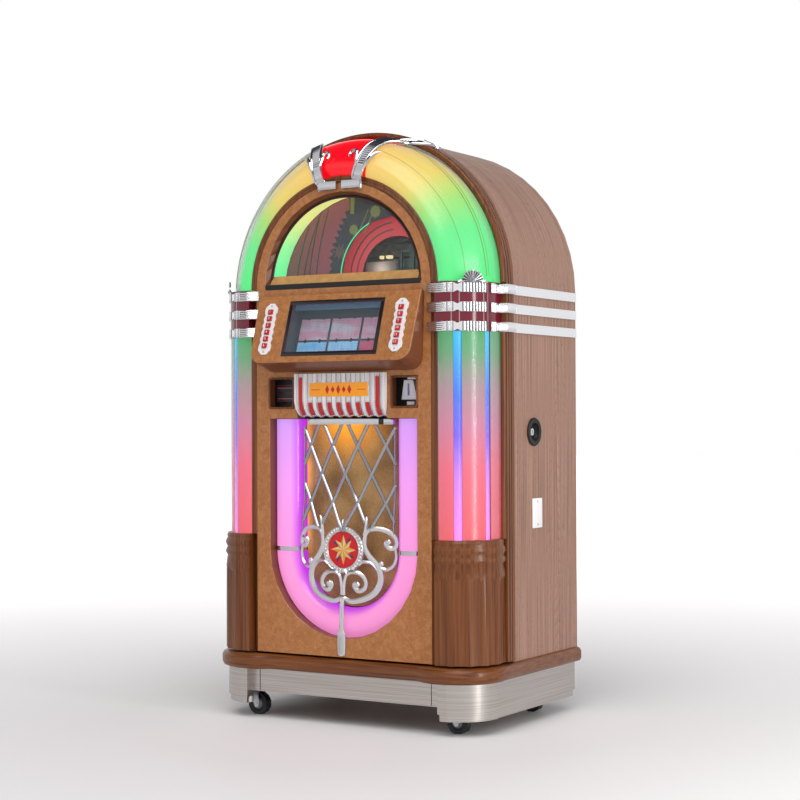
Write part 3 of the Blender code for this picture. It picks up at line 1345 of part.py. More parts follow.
def pilaster_base():
    """Fluted wooden foot of the right pilaster, with turned rings at its top."""
    collar = PILASTER_RADIUS - COLLAR_INSET
    proud = PILASTER_RADIUS + RING_PROUD
    groove = PILASTER_RADIUS - RING_GROOVE
    levels = [(DOOR_BOTTOM_Z, PILASTER_RADIUS, FLUTE_DEPTH),
              (FLUTE_TOP_Z - FLUTE_RUNOUT, PILASTER_RADIUS, FLUTE_DEPTH),
              (FLUTE_TOP_Z, PILASTER_RADIUS, 0)]
    z = PILASTER_TOP_Z
    head = [(z, collar - COLLAR_INSET), (z - RING_HEIGHT / 2, collar)]
    for step in range(2):
        base = z - RING_HEIGHT - step * (RING_HEIGHT + 2 * RING_GROOVE_HEIGHT)
        head += [(base, groove), (base - 1.5 * RING_GROOVE_HEIGHT, proud),
                 (base - 1.5 * RING_GROOVE_HEIGHT - RING_HEIGHT / 2, proud)]
    last = head[-1][0] - RING_GROOVE_HEIGHT
    head.append((last, groove))
    levels += [(height, radius, 0) for height, radius in reversed(head)]
    return loft([[(x, y, z) for x, y in pilaster_outline(radius, flute)]
                 for z, radius, flute in levels])


# Selector

def selector_outline(inset):
    """(u, v) outline on the slope: wide at the top, round at the lower corners."""
    half = SELECTOR_TOP_HALF - inset
    foot = -SELECTOR_LENGTH + inset
    corner = SELECTOR_CORNER - inset
    narrow = SELECTOR_FOOT_HALF - inset
    right = [(half, -inset)]
    for step in range(SELECTOR_CORNER_STEPS + 1):
        turn = -math.pi / 2 * step / SELECTOR_CORNER_STEPS
        right.append((narrow - corner + corner * math.cos(turn),
                      foot + corner + corner * math.sin(turn)))
    return right + [(-u, v) for u, v in reversed(right)]


def on_slope(rings):
    return loft([[SLOPE @ Vector((u, v, w)) for u, v in outline] for outline, w in rings])


def behind_face(y):
    """A large cutter that takes all behind a vertical plane."""
    reach = SELECTOR_LENGTH + SELECTOR_DEPTH
    return box(-SELECTOR_TOP_HALF - OVERRUN, SELECTOR_TOP_HALF + OVERRUN, y,
               y + 2 * SELECTOR_DEPTH, SELECTOR_TOP_Z - reach, SELECTOR_TOP_Z + reach)


def key_slot(side, half, margin, low, high):
    last = KEY_FIRST_V - KEY_PITCH * (KEY_COUNT - 1)
    slot = rectangle(side * KEY_X - half, side * KEY_X + half,
                     last - KEY_HALF_HEIGHT - margin, KEY_FIRST_V + KEY_HALF_HEIGHT + margin)
    return on_slope([(slot, low), (slot, high)])


def selector_housing():
    """Sloping shell on the burl, open at the back and under the glass and keys."""
    edge = SELECTOR_EDGE
    outer = on_slope([(selector_outline(0), -SELECTOR_DEPTH), (selector_outline(0), -edge),
                      (selector_outline(edge / 3), -edge / 3), (selector_outline(edge), 0)])
    hollow = on_slope([(selector_outline(SELECTOR_WALL), -SELECTOR_DEPTH - OVERRUN),
                       (selector_outline(SELECTOR_WALL), -SELECTOR_FACE)])
    rebate = rectangle(-GLASS_HALF - FIT, GLASS_HALF + FIT, GLASS_FOOT_V - FIT,
                       GLASS_TOP_V + FIT)
    lip = GLASS_LIP
    opening = rectangle(-GLASS_HALF + lip, GLASS_HALF - lip, GLASS_FOOT_V + lip,
                        GLASS_TOP_V - lip)
    cutters = [on_slope([(rebate, -GLASS_REBATE), (rebate, OVERRUN)]),
               on_slope([(opening, -SELECTOR_FACE - OVERRUN), (opening, OVERRUN)])]
    cutters += [key_slot(side, KEY_SLOT_HALF, KEY_SLOT_MARGIN, -SELECTOR_FACE - OVERRUN,
                         OVERRUN) for side in (-1, 1)]
    return cut(outer, behind_face(-FIT), hollow, *cutters)


def selector_glass():
    outline = rectangle(-GLASS_HALF, GLASS_HALF, GLASS_FOOT_V, GLASS_TOP_V)
    return on_slope([(outline, FIT - GLASS_REBATE), (outline, -FIT)])


def title_rack():
    """Tray behind the glass with shallow pockets for the title cards."""
    top = GLASS_TOP_V + RACK_MARGIN
    foot = GLASS_FOOT_V - RACK_MARGIN
    high = -SELECTOR_FACE - FIT
    floor = high - RACK_DEPTH
    wall = RACK_WALL
    outline = rectangle(-RACK_HALF, RACK_HALF, foot, top)
    inner = rectangle(-RACK_HALF + wall, RACK_HALF - wall, foot + wall, top - wall)
    tray = on_slope([(outline, floor - wall), (outline, high)])
    hollow = on_slope([(inner, floor), (inner, high + OVERRUN)])
    cards = []
    wide = 2 * (RACK_HALF - wall) / CARD_COLUMNS
    tall = (top - foot - 2 * wall) / CARD_ROWS
    for column in range(CARD_COLUMNS):
        for row in range(CARD_ROWS):
            left = -RACK_HALF + wall + wide * column
            low = foot + wall + tall * row
            card = rectangle(left + CARD_MARGIN, left + wide - CARD_MARGIN,
                             low + CARD_MARGIN, low + tall - CARD_MARGIN)
            cards.append(on_slope([(card, floor - CARD_DEPTH), (card, floor + OVERRUN)]))
    return cut(tray, hollow, *cards)


def key_plate(side):
    """Scalloped plate, with a hole for each key."""
    last = KEY_FIRST_V - KEY_PITCH * (KEY_COUNT - 1)
    top = KEY_FIRST_V + KEY_PLATE_END
    foot = last - KEY_PLATE_END
    nib, slope = KEY_PLATE_HALF - KEY_PLATE_END / 2, KEY_PLATE_END / 2
    right = [(nib, top), (KEY_PLATE_HALF, top - slope)]
    for index in range(KEY_COUNT):
        middle = KEY_FIRST_V - KEY_PITCH * index
        right.append((KEY_PLATE_HALF, middle))
        if index < KEY_COUNT - 1:
            right.append((KEY_PLATE_HALF - KEY_PLATE_SCALLOP, middle - KEY_PITCH / 2))
    right += [(KEY_PLATE_HALF, foot + slope), (nib, foot)]
    outline = right + [(-u, v) for u, v in reversed(right)]
    outline = [(side * KEY_X + u, v) for u, v in outline]
    plate = on_slope([(outline, FIT), (outline, FIT + KEY_PLATE_THICKNESS)])
    holes = []
    for index in range(KEY_COUNT):
        v = KEY_FIRST_V - KEY_PITCH * index
        half, tall = KEY_HALF_WIDTH + FIT, KEY_HALF_HEIGHT + FIT
        hole = rectangle(side * KEY_X - half, side * KEY_X + half, v - tall, v + tall)
        holes.append(on_slope([(hole, -OVERRUN), (hole, KEY_PLATE_THICKNESS + OVERRUN)]))
    return cut(plate, *holes)


def key_cap():
    """One key about its own middle on the slope: flange below, cap above."""
    def outline(grow):
        return rectangle(-KEY_HALF_WIDTH - grow, KEY_HALF_WIDTH + grow,
                         -KEY_HALF_HEIGHT - grow, KEY_HALF_HEIGHT + grow)

    levels = [(KEY_FLANGE, -KEY_FLANGE_DEPTH), (KEY_FLANGE, 0), (0, 0),
              (0, KEY_TOP - KEY_EDGE), (-KEY_EDGE, KEY_TOP)]
    turned = SLOPE.to_3x3()
    return loft([[turned @ Vector((u, v, w)) for u, v in outline(grow)]
                 for grow, w in levels])


def key_place(side, index):
    return SLOPE @ Vector((side * KEY_X, KEY_FIRST_V - KEY_PITCH * index, 0))


# Name casting, coin and note entries

def name_casting():
    """Ribbed casting that curls under into the head of the grille opening."""
    stations = [((NAME_FRONT_Y, NAME_TOP_Z), (-FIT, NAME_TOP_Z), NAME_HALF),
                ((NAME_FRONT_Y, NAME_CURL_Z), (-FIT, NAME_CURL_Z), NAME_HALF)]
    for step in range(1, NAME_CURL_STEPS + 1):
        turn = math.pi / 2 * step / NAME_CURL_STEPS
        sweep, fall = NAME_FOOT_Y - NAME_FRONT_Y, NAME_CURL_Z - NAME_FOOT_Z
        front = (NAME_FRONT_Y + sweep * (1 - math.cos(turn)), NAME_CURL_Z - fall * math.sin(turn))
        sweep, fall = sweep - NAME_WALL, fall - NAME_WALL
        back = (-FIT + (NAME_FOOT_Y + FIT) * (1 - math.cos(turn)),
                NAME_CURL_Z - fall * math.sin(turn))
        half = NAME_HALF + (NAME_FOOT_HALF - NAME_HALF) * step / NAME_CURL_STEPS
        stations.append((front, back, half))
    gaps = NAME_RIB_COUNT - 1
    shares = []
    for index in range(NAME_RIB_COUNT):
        middle = 2 * index / gaps - 1
        half = NAME_RIB_SHARE / gaps
        shares += [(max(-1, middle - half), 1), (min(1, middle + half), 1)]
        if index < gaps:
            shares += [(middle + 1.25 * half, 0), (middle + 2 / gaps - 1.25 * half, 0)]
    rings = []
    for (front_y, front_z), (back_y, back_z), half in stations:
        out = Vector((0, front_y - back_y, front_z - back_z)).normalized()
        ring = [Vector((share * half, front_y, front_z)) - out * NAME_RIB * (1 - high)
                for share, high in shares]
        ring += [Vector((half, back_y, back_z)), Vector((-half, back_y, back_z))]
        rings.append(ring)
    plate = box(-NAME_PLATE_HALF, NAME_PLATE_HALF, NAME_FRONT_Y - FIT, -2 * FIT,
                NAME_PLATE_LOW_Z, NAME_PLATE_HIGH_Z)
    return fuse(loft(rings), plate)


def recess_tray(side):
    """Open box behind the panel that lines the back of a recess."""
    x = side * RECESS_X
    outer = RECESS_HALF + RECESS_WALL
    tray = box(x - outer, x + outer, FRAME_LEDGE_Y, RECESS_FLOOR_Y + RECESS_WALL,
               RECESS_Z - outer, RECESS_Z + outer)
    hollow = box(x - RECESS_HALF, x + RECESS_HALF, FRAME_LEDGE_Y - OVERRUN, RECESS_FLOOR_Y,
                 RECESS_Z - RECESS_HALF, RECESS_Z + RECESS_HALF)
    return cut(tray, hollow)


def coin_entry():
    """Tray with a tilted entry plate, a coin slot and the reject button's hole."""
    x = RECESS_X
    floor = RECESS_FLOOR_Y + OVERRUN / 2
    front = [(x - COIN_FOOT_HALF, COIN_FOOT_FRONT_Y, COIN_FOOT_Z),
             (x + COIN_FOOT_HALF, COIN_FOOT_FRONT_Y, COIN_FOOT_Z),
             (x + COIN_TOP_HALF, COIN_FRONT_Y, COIN_TOP_Z),
             (x - COIN_TOP_HALF, COIN_FRONT_Y, COIN_TOP_Z)]
    plate = loft([front, [(px, floor, pz) for px, py, pz in front]])
    through = RECESS_FLOOR_Y + RECESS_WALL + OVERRUN
    slot = box(x - COIN_SLOT_HALF, x + COIN_SLOT_HALF, COIN_FRONT_Y - OVERRUN, through,
               COIN_SLOT_LOW_Z, COIN_SLOT_HIGH_Z)
    half, tall = BUTTON_HALF + FIT, BUTTON_TALL + FIT
    hole = box(x - half, x + half, RECESS_FLOOR_Y - OVERRUN, through,
               BUTTON_Z - tall, BUTTON_Z + tall)
    return cut(fuse(recess_tray(1), plate), slot, hole)


def reject_button():
    """Sprung button with a flange behind the tray's floor."""
    def outline(grow):
        return rectangle(-BUTTON_HALF - grow, BUTTON_HALF + grow, -BUTTON_TALL - grow,
                         BUTTON_TALL + grow)

    behind = RECESS_FLOOR_Y + RECESS_WALL + FIT - BUTTON_FRONT_Y
    levels = [(-BUTTON_EDGE, 0), (0, BUTTON_EDGE), (0, behind), (BUTTON_FLANGE, behind),
              (BUTTON_FLANGE, behind + BUTTON_FLANGE_THICKNESS)]
    return loft([ring_at(outline(grow), y) for grow, y in levels])


def note_acceptor():
    """Tray with a bevelled mouth for notes."""
    x = -RECESS_X
    wide = rectangle(x - NOTE_BEZEL_HALF, x + NOTE_BEZEL_HALF, RECESS_Z - NOTE_BEZEL_TALL,
                     RECESS_Z + NOTE_BEZEL_TALL)
    half, tall = NOTE_BEZEL_HALF - NOTE_EDGE / 2, NOTE_BEZEL_TALL - NOTE_EDGE
    small = rectangle(x - half, x + half, RECESS_Z - tall, RECESS_Z + tall)
    bezel = loft([ring_at(small, NOTE_FRONT_Y), ring_at(wide, NOTE_FRONT_Y + NOTE_EDGE),
                  ring_at(wide, RECESS_FLOOR_Y + OVERRUN / 2)])
    mouth = box(x - NOTE_SLOT_HALF, x + NOTE_SLOT_HALF, NOTE_FRONT_Y - OVERRUN,
                RECESS_FLOOR_Y + RECESS_WALL + OVERRUN,
                RECESS_Z - NOTE_SLOT_TALL, RECESS_Z + NOTE_SLOT_TALL)
    return cut(fuse(recess_tray(-1), bezel), mouth)


# Grille

def lamp_tube():
    """The U of the lit tube round the grille: a round cover, open along its back."""
    path = [Vector((-TUBE_X, TUBE_Y, GRILLE_TOP_Z - FIT))]
    for step in range(GRILLE_STEPS + 1):
        turn = math.pi * step / GRILLE_STEPS
        path.append(Vector((-TUBE_X * math.cos(turn), TUBE_Y,
                            GRILLE_Z - TUBE_X * math.sin(turn))))
    path.append(Vector((TUBE_X, TUBE_Y, GRILLE_TOP_Z - FIT)))
    rings = []
    for index, point in enumerate(path):
        turn = math.pi * min(max(index - 1, 0), GRILLE_STEPS) / GRILLE_STEPS
        outward = Vector((-math.cos(turn), 0, -math.sin(turn)))
        ring = []
        for radius, order in ((TUBE_RADIUS, 1), (TUBE_RADIUS - TUBE_WALL, -1)):
            arc = []
            for side in range(TUBE_SIDES + 1):
                angle = (math.pi / 2 + TUBE_OPENING
                         + 2 * (math.pi - TUBE_OPENING) * side / TUBE_SIDES)
                arc.append(point + outward * (radius * math.cos(angle))
                           + Vector((0, radius * math.sin(angle), 0)))
            ring += arc[::order]
        rings.append(ring)
    return loft(rings)


def grille_cloth():
    """Cloth board that stands forward between the tube's legs, on its baffle."""
    top = TUBE_Y + TUBE_RADIUS + FIT
    outline = rectangle(-FLANGE_HALF, FLANGE_HALF, FLANGE_LOW_Z, FLANGE_HIGH_Z)
    baffle = along_y(outline, top, top + FLANGE_THICKNESS)
    cloth = along_y(u_outline(CLOTH_HALF, GRILLE_TOP_Z - FIT, GRILLE_Z), CLOTH_Y,
                    top + OVERRUN)
    hole = lathe([(0, CLOTH_Y + CLOTH_SKIN), (SPEAKER_CONE_RADIUS, CLOTH_Y + CLOTH_SKIN),
                  (SPEAKER_CONE_RADIUS, top + FLANGE_THICKNESS + OVERRUN),
                  (0, top + FLANGE_THICKNESS + OVERRUN)], SPEAKER_STEPS)
    return cut(fuse(baffle, cloth), shifted(to_y_axis(hole), 0, 0, SPEAKER_Z))


def speaker():
    """Basket, cone and magnet, turned about the grille's depth."""
    front = TUBE_Y + TUBE_RADIUS + FLANGE_THICKNESS + 2 * FIT
    back = front + SPEAKER_DEPTH
    magnet = back - SPEAKER_DEPTH * SPEAKER_MAGNET_SHARE
    profile = [(0, front + SPEAKER_CONE_DEPTH - CUT_EDGE),
               (SPEAKER_DOME_RADIUS, front + SPEAKER_CONE_DEPTH),
               (SPEAKER_CONE_RADIUS, front), (SPEAKER_RADIUS, front),
               (SPEAKER_RADIUS, front + SPEAKER_FLANGE),
               (SPEAKER_CONE_RADIUS, front + SPEAKER_FLANGE),
               (SPEAKER_MAGNET_RADIUS, magnet), (SPEAKER_MAGNET_RADIUS, back), (0, back)]
    return shifted(to_y_axis(lathe(profile, SPEAKER_STEPS)), 0, 0, SPEAKER_Z)


def scroll_y(x):
    return SCROLL_Y + SCROLL_RATE * x ** 2


def lattice_y(x, z):
    """Depth of the bars: bowed above, brought forward to the scrolls below."""
    share = min(max((z - BLEND_LOW_Z) / (BLEND_HIGH_Z - BLEND_LOW_Z), 0), 1)
    share = share * share * (3 - 2 * share)
    return share * (BOW_Y + BOW_RATE * x ** 2) + (1 - share) * scroll_y(x)


def lattice_bars():
    """Two crossing families of slanting bars, clipped to the grille."""
    bars = []
    slant = LATTICE_PITCH / (2 * LATTICE_ROW)
    forward = Vector((0, -1, 0))
    high = BAR_Z - BAR_TALL / 2
    for lean in (-1, 1):
        for index in range(-2, 4):
            base = LATTICE_PITCH * (index - 0.5)
            ends = []
            for limit in (-LATTICE_EDGE_X, LATTICE_EDGE_X):
                ends.append(LATTICE_ROW_Z - (limit - base) * lean / slant)
            top = min(high, max(ends))
            low = max(LATTICE_LOW_Z, min(ends))
            if top - low < LATTICE_ROW / 2:
                continue
            steps = max(2, round((top - low) / LATTICE_ROW))
            points = []
            for step in range(steps + 1):
                z = top + (low - top) * step / steps
                x = base + (LATTICE_ROW_Z - z) * slant * lean
                y = lattice_y(x, z) + (LATTICE_STAGGER if lean > 0 else 0)
                points.append(Vector((x, y, z)))
            bars.append(tube(points, LATTICE_WIDE, LATTICE_DEEP, forward))
    return bars


def scroll(shares, side, thin, steps):
    path = []
    for x_share, z_share in shares:
        x = side * x_share * MEDALLION_RADIUS
        path.append(Vector((x, scroll_y(x), MEDALLION_Z + z_share * MEDALLION_RADIUS)))
    return tube(smooth_path(path, steps), SCROLL_WIDE, SCROLL_DEEP, Vector((0, -1, 0)), thin)


def top_bar():
    """Bar under the name casting, turned back at both ends to the cloth."""
    back = CLOTH_Y - FIT - BAR_DEEP
    places = []
    for share, return_share in BAR_SHARES:
        x = BAR_HALF * share
        bow = BOW_Y + BOW_RATE * x ** 2
        places.append((x, bow + (back - bow) * return_share))
    places = [(-x, y) for x, y in reversed(places)] + places
    rings = [[Vector((x, y - BAR_DEEP, BAR_Z - BAR_TALL)),
              Vector((x, y + BAR_DEEP, BAR_Z - BAR_TALL)),
              Vector((x, y + BAR_DEEP, BAR_Z + BAR_TALL)),
              Vector((x, y - BAR_DEEP, BAR_Z + BAR_TALL))] for x, y in places]
    return loft(rings)


def medallion():
    """Dished disc with a raised rim and a pointed tip."""
    back = MEDALLION_FRONT_Y + MEDALLION_THICKNESS
    floor = MEDALLION_FRONT_Y + MEDALLION_SINK
    rim = (MEDALLION_RADIUS + MEDALLION_FLOOR) / 2
    disc = to_y_axis(lathe([(0, floor), (MEDALLION_FLOOR, floor),
                            (rim, MEDALLION_FRONT_Y), (MEDALLION_RADIUS, floor),
                            (MEDALLION_RADIUS, back), (0, back)], MEDALLION_STEPS))
    half = MEDALLION_RADIUS / 4
    low = MEDALLION_Z + MEDALLION_FLOOR + OVERRUN
    tip = along_y([(-half, low), (half, low), (0, MEDALLION_TIP_Z)], floor,
                  back - MEDALLION_SINK)
    return fuse(shifted(disc, 0, 0, MEDALLION_Z), tip)


def finger():
    """Strap over the tube's bend, with a plate that lies on the burl."""
    tube_front = TUBE_Y - TUBE_RADIUS
    lift = min(tube_front, 0) - FIT
    stations = [(FINGER_TOP_Z, scroll_y(0), FINGER_TOP_HALF),
                (FINGER_PLATE_TOP_Z + FINGER_HALF, lift - FINGER_THICKNESS / 2, FINGER_TOP_HALF),
                (FINGER_PLATE_TOP_Z, lift - FINGER_THICKNESS / 2, FINGER_HALF),
                (FINGER_PLATE_LOW_Z + FINGER_HALF, lift - FINGER_THICKNESS / 2, FINGER_HALF),
                (FINGER_PLATE_LOW_Z, lift - FINGER_THICKNESS / 2, FINGER_TOP_HALF)]
    rings = []
    for z, y, half in stations:
        near, far = y - FINGER_THICKNESS / 2, y + FINGER_THICKNESS / 2
        rings.append([Vector((-half, far, z)), Vector((-half, near + FINGER_LIFT, z)),
                      Vector((0, near, z)), Vector((half, near + FINGER_LIFT, z)),
                      Vector((half, far, z))])
    return loft(rings)


def lattice():
    """Cast grille ornament in one piece: bars, scrolls, medallion and finger."""
    pieces = lattice_bars() + [medallion(), finger()]
    for side in (-1, 1):
        pieces.append(scroll(TRUNK_SHARES, side, 1, 1))
        pieces.append(scroll(UPPER_SHARES, side, SCROLL_THIN_SHARE, 1))
        pieces.append(scroll(LOWER_SHARES, side, SCROLL_THIN_SHARE, 1))
        pieces.append(scroll(BRIDGE_SHARES, side, 1, 1))
        pieces.append(scroll(VOLUTE_SHARES, side, SCROLL_THIN_SHARE, 2))
        pieces.append(scroll(TIE_SHARES, side, 1, 1))
    return fuse(top_bar(), *pieces)


# Assembly

MATERIALS = {
    "burl": ((0.49, 0.22, 0.06, 1), 0.25, 0),
    "brown_paint": ((0.16, 0.06, 0.025, 1), 0.2, 0),
    "oak_laminate": ((0.42, 0.25, 0.17, 1), 0.35, 0),
    "chrome": ((0.75, 0.75, 0.75, 1), 0.08, 1),
    "steel": ((0.55, 0.52, 0.5, 1), 0.32, 1),
    "plastic_green": ((0.1, 0.75, 0.25, 1), 0.15, 0),
    "plastic_red": ((0.85, 0.01, 0.01, 1), 0.15, 0),
    "plastic_rose": ((0.85, 0.2, 0.25, 1), 0.15, 0),
    "lilac_glass": ((0.75, 0.35, 0.75, 1), 0.1, 0),
    "clear_glass": ((0.8, 0.85, 0.85, 1), 0.05, 0),
    "cloth": ((0.35, 0.2, 0.07, 1), 0.9, 0),
    "dark_metal": ((0.06, 0.06, 0.065, 1), 0.4, 0.8),
    "black_rubber": ((0.02, 0.02, 0.02, 1), 0.7, 0),
    "teal_metal": ((0.05, 0.3, 0.28, 1), 0.4, 0.4),
    "cream_plastic": ((0.8, 0.76, 0.65, 1), 0.4, 0),
}


def material(name):
    found = bpy.data.materials.get(name)
    if found:
        return found
    colour, roughness, metallic = MATERIALS[name]
    made = bpy.data.materials.new(name)
    made.use_nodes = True
    shader = made.node_tree.nodes["Principled BSDF"]
    shader.inputs["Base Color"].default_value = colour
    shader.inputs["Roughness"].default_value = roughness
    shader.inputs["Metallic"].default_value = metallic
    made.diffuse_color = colour
    return made


def pivot(name, place, parent=None):
    """An empty at a place measured on the object; pieces under it turn about it."""
    empty = bpy.data.objects.new(name, None)
    bpy.context.collection.objects.link(empty)
    empty.parent = parent
    offset = Vector(parent["place"]) if parent else Vector((0, 0, 0))
    empty.location = Vector(place) - offset
    empty["place"] = list(place)
    return empty


def piece(item, name, look, parent):
    """Name a solid, give it its look and hang it on its empty, in its own place."""
    item.name = name
    item.data.name = name
    item.data.transform(Matrix.Translation(-Vector(parent["place"])))
    item.data.materials.clear()
    item.data.materials.append(material(look))
    item.data.shade_smooth()
    item.data.set_sharp_from_angle(angle=math.radians(32))
    item.parent = parent
    return item


def build_cabinet(root):
    piece(cabinet_shell(), "cabinet_shell", "oak_laminate", root)
    piece(base_board(), "base_board", "brown_paint", root)
    piece(back_panel(), "back_panel", "dark_metal", root)
    piece(steel_plinth(), "steel_plinth", "steel", root)
    piece(mechanism_frame(), "mechanism_frame", "teal_metal", root)
    piece(amplifier(), "amplifier", "dark_metal", root)
    piece(lock_housing(), "lock_housing", "dark_metal", root)
    piece(cabinet_hinge_leaf(), "cabinet_hinge_leaf", "steel", root)
    carousel = pivot("carousel_axis", (0, MECH_Y, SHELF_TOP_Z), root)
    piece(disc_carousel(), "disc_carousel", "steel", carousel)
    arm = pivot("arm_axis", (ARM_X, MECH_Y, ARM_LOW_Z), root)
    piece(transfer_arm(), "transfer_arm", "steel", arm)
    lock = pivot("lock_axis", (CABINET_HALF, LOCK_Y, LOCK_Z), root)
    barrel = shifted(lock_barrel(), CABINET_HALF, LOCK_Y, LOCK_Z)
    piece(barrel, "lock_barrel", "chrome", lock)


def build_casters(root):
    for name, (x, y) in caster_places().items():
        trail = -CASTER_TRAIL if x > 0 else CASTER_TRAIL
        swivel = pivot("swivel_" + name, (x, y, CASTER_BLOCK_Z), root)
        fork = shifted(caster_fork(trail), x, y, 0)
        piece(fork, "caster_fork_" + name, "steel", swivel)
        axle = pivot("axle_" + name, (x + trail, y, WHEEL_Z), swivel)
        wheel = shifted(caster_wheel(), x + trail, y, WHEEL_Z)
        piece(wheel, "caster_wheel_" + name, "black_rubber", axle)


def build_door(root):
    door = pivot("door_axis", (HINGE_X, HINGE_Y, DOOR_BOTTOM_Z), root)
    piece(door_panel(), "door_panel", "burl", door)
    piece(door_frame(), "door_frame", "brown_paint", door)
    piece(window_glass(), "window_glass", "clear_glass", door)
    piece(window_backdrop(), "window_backdrop", "teal_metal", door)
    piece(selector_housing(), "selector_housing", "brown_paint", door)
    piece(selector_glass(), "selector_glass", "clear_glass", door)
    piece(title_rack(), "title_rack", "cream_plastic", door)
    piece(name_casting(), "name_casting", "chrome", door)
    piece(coin_entry(), "coin_entry", "chrome", door)
    piece(note_acceptor(), "note_acceptor", "dark_metal", door)
    piece(lamp_tube(), "lamp_tube", "lilac_glass", door)
    piece(lattice(), "lattice", "chrome", door)
    piece(grille_cloth(), "grille_cloth", "cloth", door)
    piece(speaker(), "speaker", "dark_metal", door)
    piece(crest_lens(), "crest_lens", "plastic_red", door)
    piece(door_hinge_leaf(), "door_hinge_leaf", "steel", door)
    halves = [(pilaster_base, "pilaster_base", "brown_paint", 1),
              (pilaster_lens, "pilaster_lens", "plastic_rose", 1),
              (band_stack, "band_stack", "chrome", 1),
              (crest_casting, "crest_casting", "chrome", 1),
              (arch_lens, "arch_lens", "plastic_green", -1)]
    for shape, name, look, side in halves:
        for word, hand in (("left", -1), ("right", 1)):
            item = shape() if hand == side else mirrored(shape())
            piece(item, name + "_" + word, look, door)
    return door


def build_buttons(door):
    for word, side in (("left", -1), ("right", 1)):
        piece(key_plate(side), "key_plate_" + word, "chrome", door)
        for index in range(KEY_COUNT):
            place = key_place(side, index)
            name = "key_%s_%d" % (word, index + 1)
            slide = pivot("slide_" + name, place, door)
            cap = key_cap()
            piece(moved(cap, Matrix.Translation(place)), name, "plastic_red", slide)
    place = Vector((RECESS_X, BUTTON_FRONT_Y, BUTTON_Z))
    slide = pivot("slide_reject_button", place, door)
    piece(moved(reject_button(), Matrix.Translation(place)), "reject_button",
          "cream_plastic", slide)


def main():
    clear_scene()
    root = pivot("cabinet", (0, 0, 0))
    root.location.y = DEPTH_SHIFT
    build_cabinet(root)
    build_casters(root)
    door = build_door(root)
    build_buttons(door)
    bpy.context.view_layer.update()


main()
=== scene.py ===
"""An arched-top jukebox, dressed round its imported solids, piece by piece.

Metres, +Z up, and -Y out of the front. BURL_Y is the front of the burl door, from
which the depths of all that stands on or in the door are counted.
"""

import math

import bpy
from mathutils import Matrix, Vector


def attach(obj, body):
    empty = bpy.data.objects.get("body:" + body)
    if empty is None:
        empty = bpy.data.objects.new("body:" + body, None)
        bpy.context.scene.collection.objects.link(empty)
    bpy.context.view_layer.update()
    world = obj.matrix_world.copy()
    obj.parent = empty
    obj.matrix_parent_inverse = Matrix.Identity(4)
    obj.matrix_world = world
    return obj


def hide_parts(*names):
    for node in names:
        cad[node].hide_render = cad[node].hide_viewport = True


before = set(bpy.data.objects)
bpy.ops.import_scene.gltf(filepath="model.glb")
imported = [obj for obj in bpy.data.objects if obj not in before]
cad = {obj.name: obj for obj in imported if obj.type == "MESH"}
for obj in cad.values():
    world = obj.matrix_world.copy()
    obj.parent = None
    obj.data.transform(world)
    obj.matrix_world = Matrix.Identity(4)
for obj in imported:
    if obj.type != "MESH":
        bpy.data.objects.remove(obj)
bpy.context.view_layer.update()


# Cabinet shell: a bent plywood arch with straight sides, covered in oak-grain
# laminate. The grain runs round the arch, so it is stretched in X and Z, and fine
# in Y. The shelf inside is the same board.
BURL_Y = -0.23614
CABINET_HALF = 0.404
CABINET_FRONT_Y = BURL_Y + 0.1735
CABINET_BACK_Y = BURL_Y + 0.5415
ARCH_Z = 1.130


def linear(code):
    """Linear red, green, blue and alpha of an sRGB hex value."""
    parts = [int(code[start:start + 2], 16) / 255 for start in (1, 3, 5)]
    return [part / 12.92 if part <= 0.04045 else ((part + 0.055) / 1.055) ** 2.4
            for part in parts] + [1]


def new_material(name):
    made = bpy.data.materials.new(name)
    made.use_nodes = True
    return made


def set_sockets(material, shader, sockets):
    """Set or link sockets. A node as a value stands for its first output."""
    for key, value in sockets.items():
        value = value.outputs[0] if isinstance(value, bpy.types.Node) else value
        socket = shader.inputs[key]
        if isinstance(value, bpy.types.NodeSocket):
            material.node_tree.links.new(value, socket)
        else:
            socket.default_value = linear(value) if isinstance(value, str) else value


def add(material, kind, sockets, stops=(), **settings):
    """Add a shader node with its settings, colour stops, values and links."""
    made = material.node_tree.nodes.new("ShaderNode" + kind)
    for key, value in settings.items():
        setattr(made, key, value)
    for index, (share, colour) in enumerate(stops):
        elements = made.color_ramp.elements
        stop = elements[index] if index < 2 else elements.new(share)
        stop.position, stop.color = share, linear(colour)
    set_sockets(material, made, sockets)
    return made


def wire(material, sockets):
    """Set and link the material's own shader."""
    set_sockets(material, material.node_tree.nodes["Principled BSDF"], sockets)


def maths(material, operation, *values, **settings):
    return add(material, "Math", dict(enumerate(values)), operation=operation, **settings)


def measure(material, operation, *vectors):
    """A length, distance or dot product of vectors."""
    return add(material, "VectorMath", dict(enumerate(vectors)),
               operation=operation).outputs["Value"]


def ranged(material, value, low, high, foot=0.0, head=1.0):
    """The value carried from low to high onto foot to head."""
    return add(material, "MapRange", {"Value": value, "From Min": low, "From Max": high,
                                      "To Min": foot, "To Max": head})


def ramp(material, share, *stops):
    return add(material, "ValToRGB", {"Fac": share}, stops)


def mix(material, share, first, second, how='MIX'):
    return add(material, "MixRGB", {"Fac": share, "Color1": first, "Color2": second},
               blend_type=how)


def bump(material, height, strength, distance):
    return add(material, "Bump", {"Height": height, "Strength": strength,
                                  "Distance": distance})


def spot_of(material):
    """A point's place, which is the same in its object as in the jukebox."""
    return add(material, "TexCoord", {}).outputs["Object"]


def axes_of(material):
    return add(material, "SeparateXYZ", {"Vector": spot_of(material)}).outputs


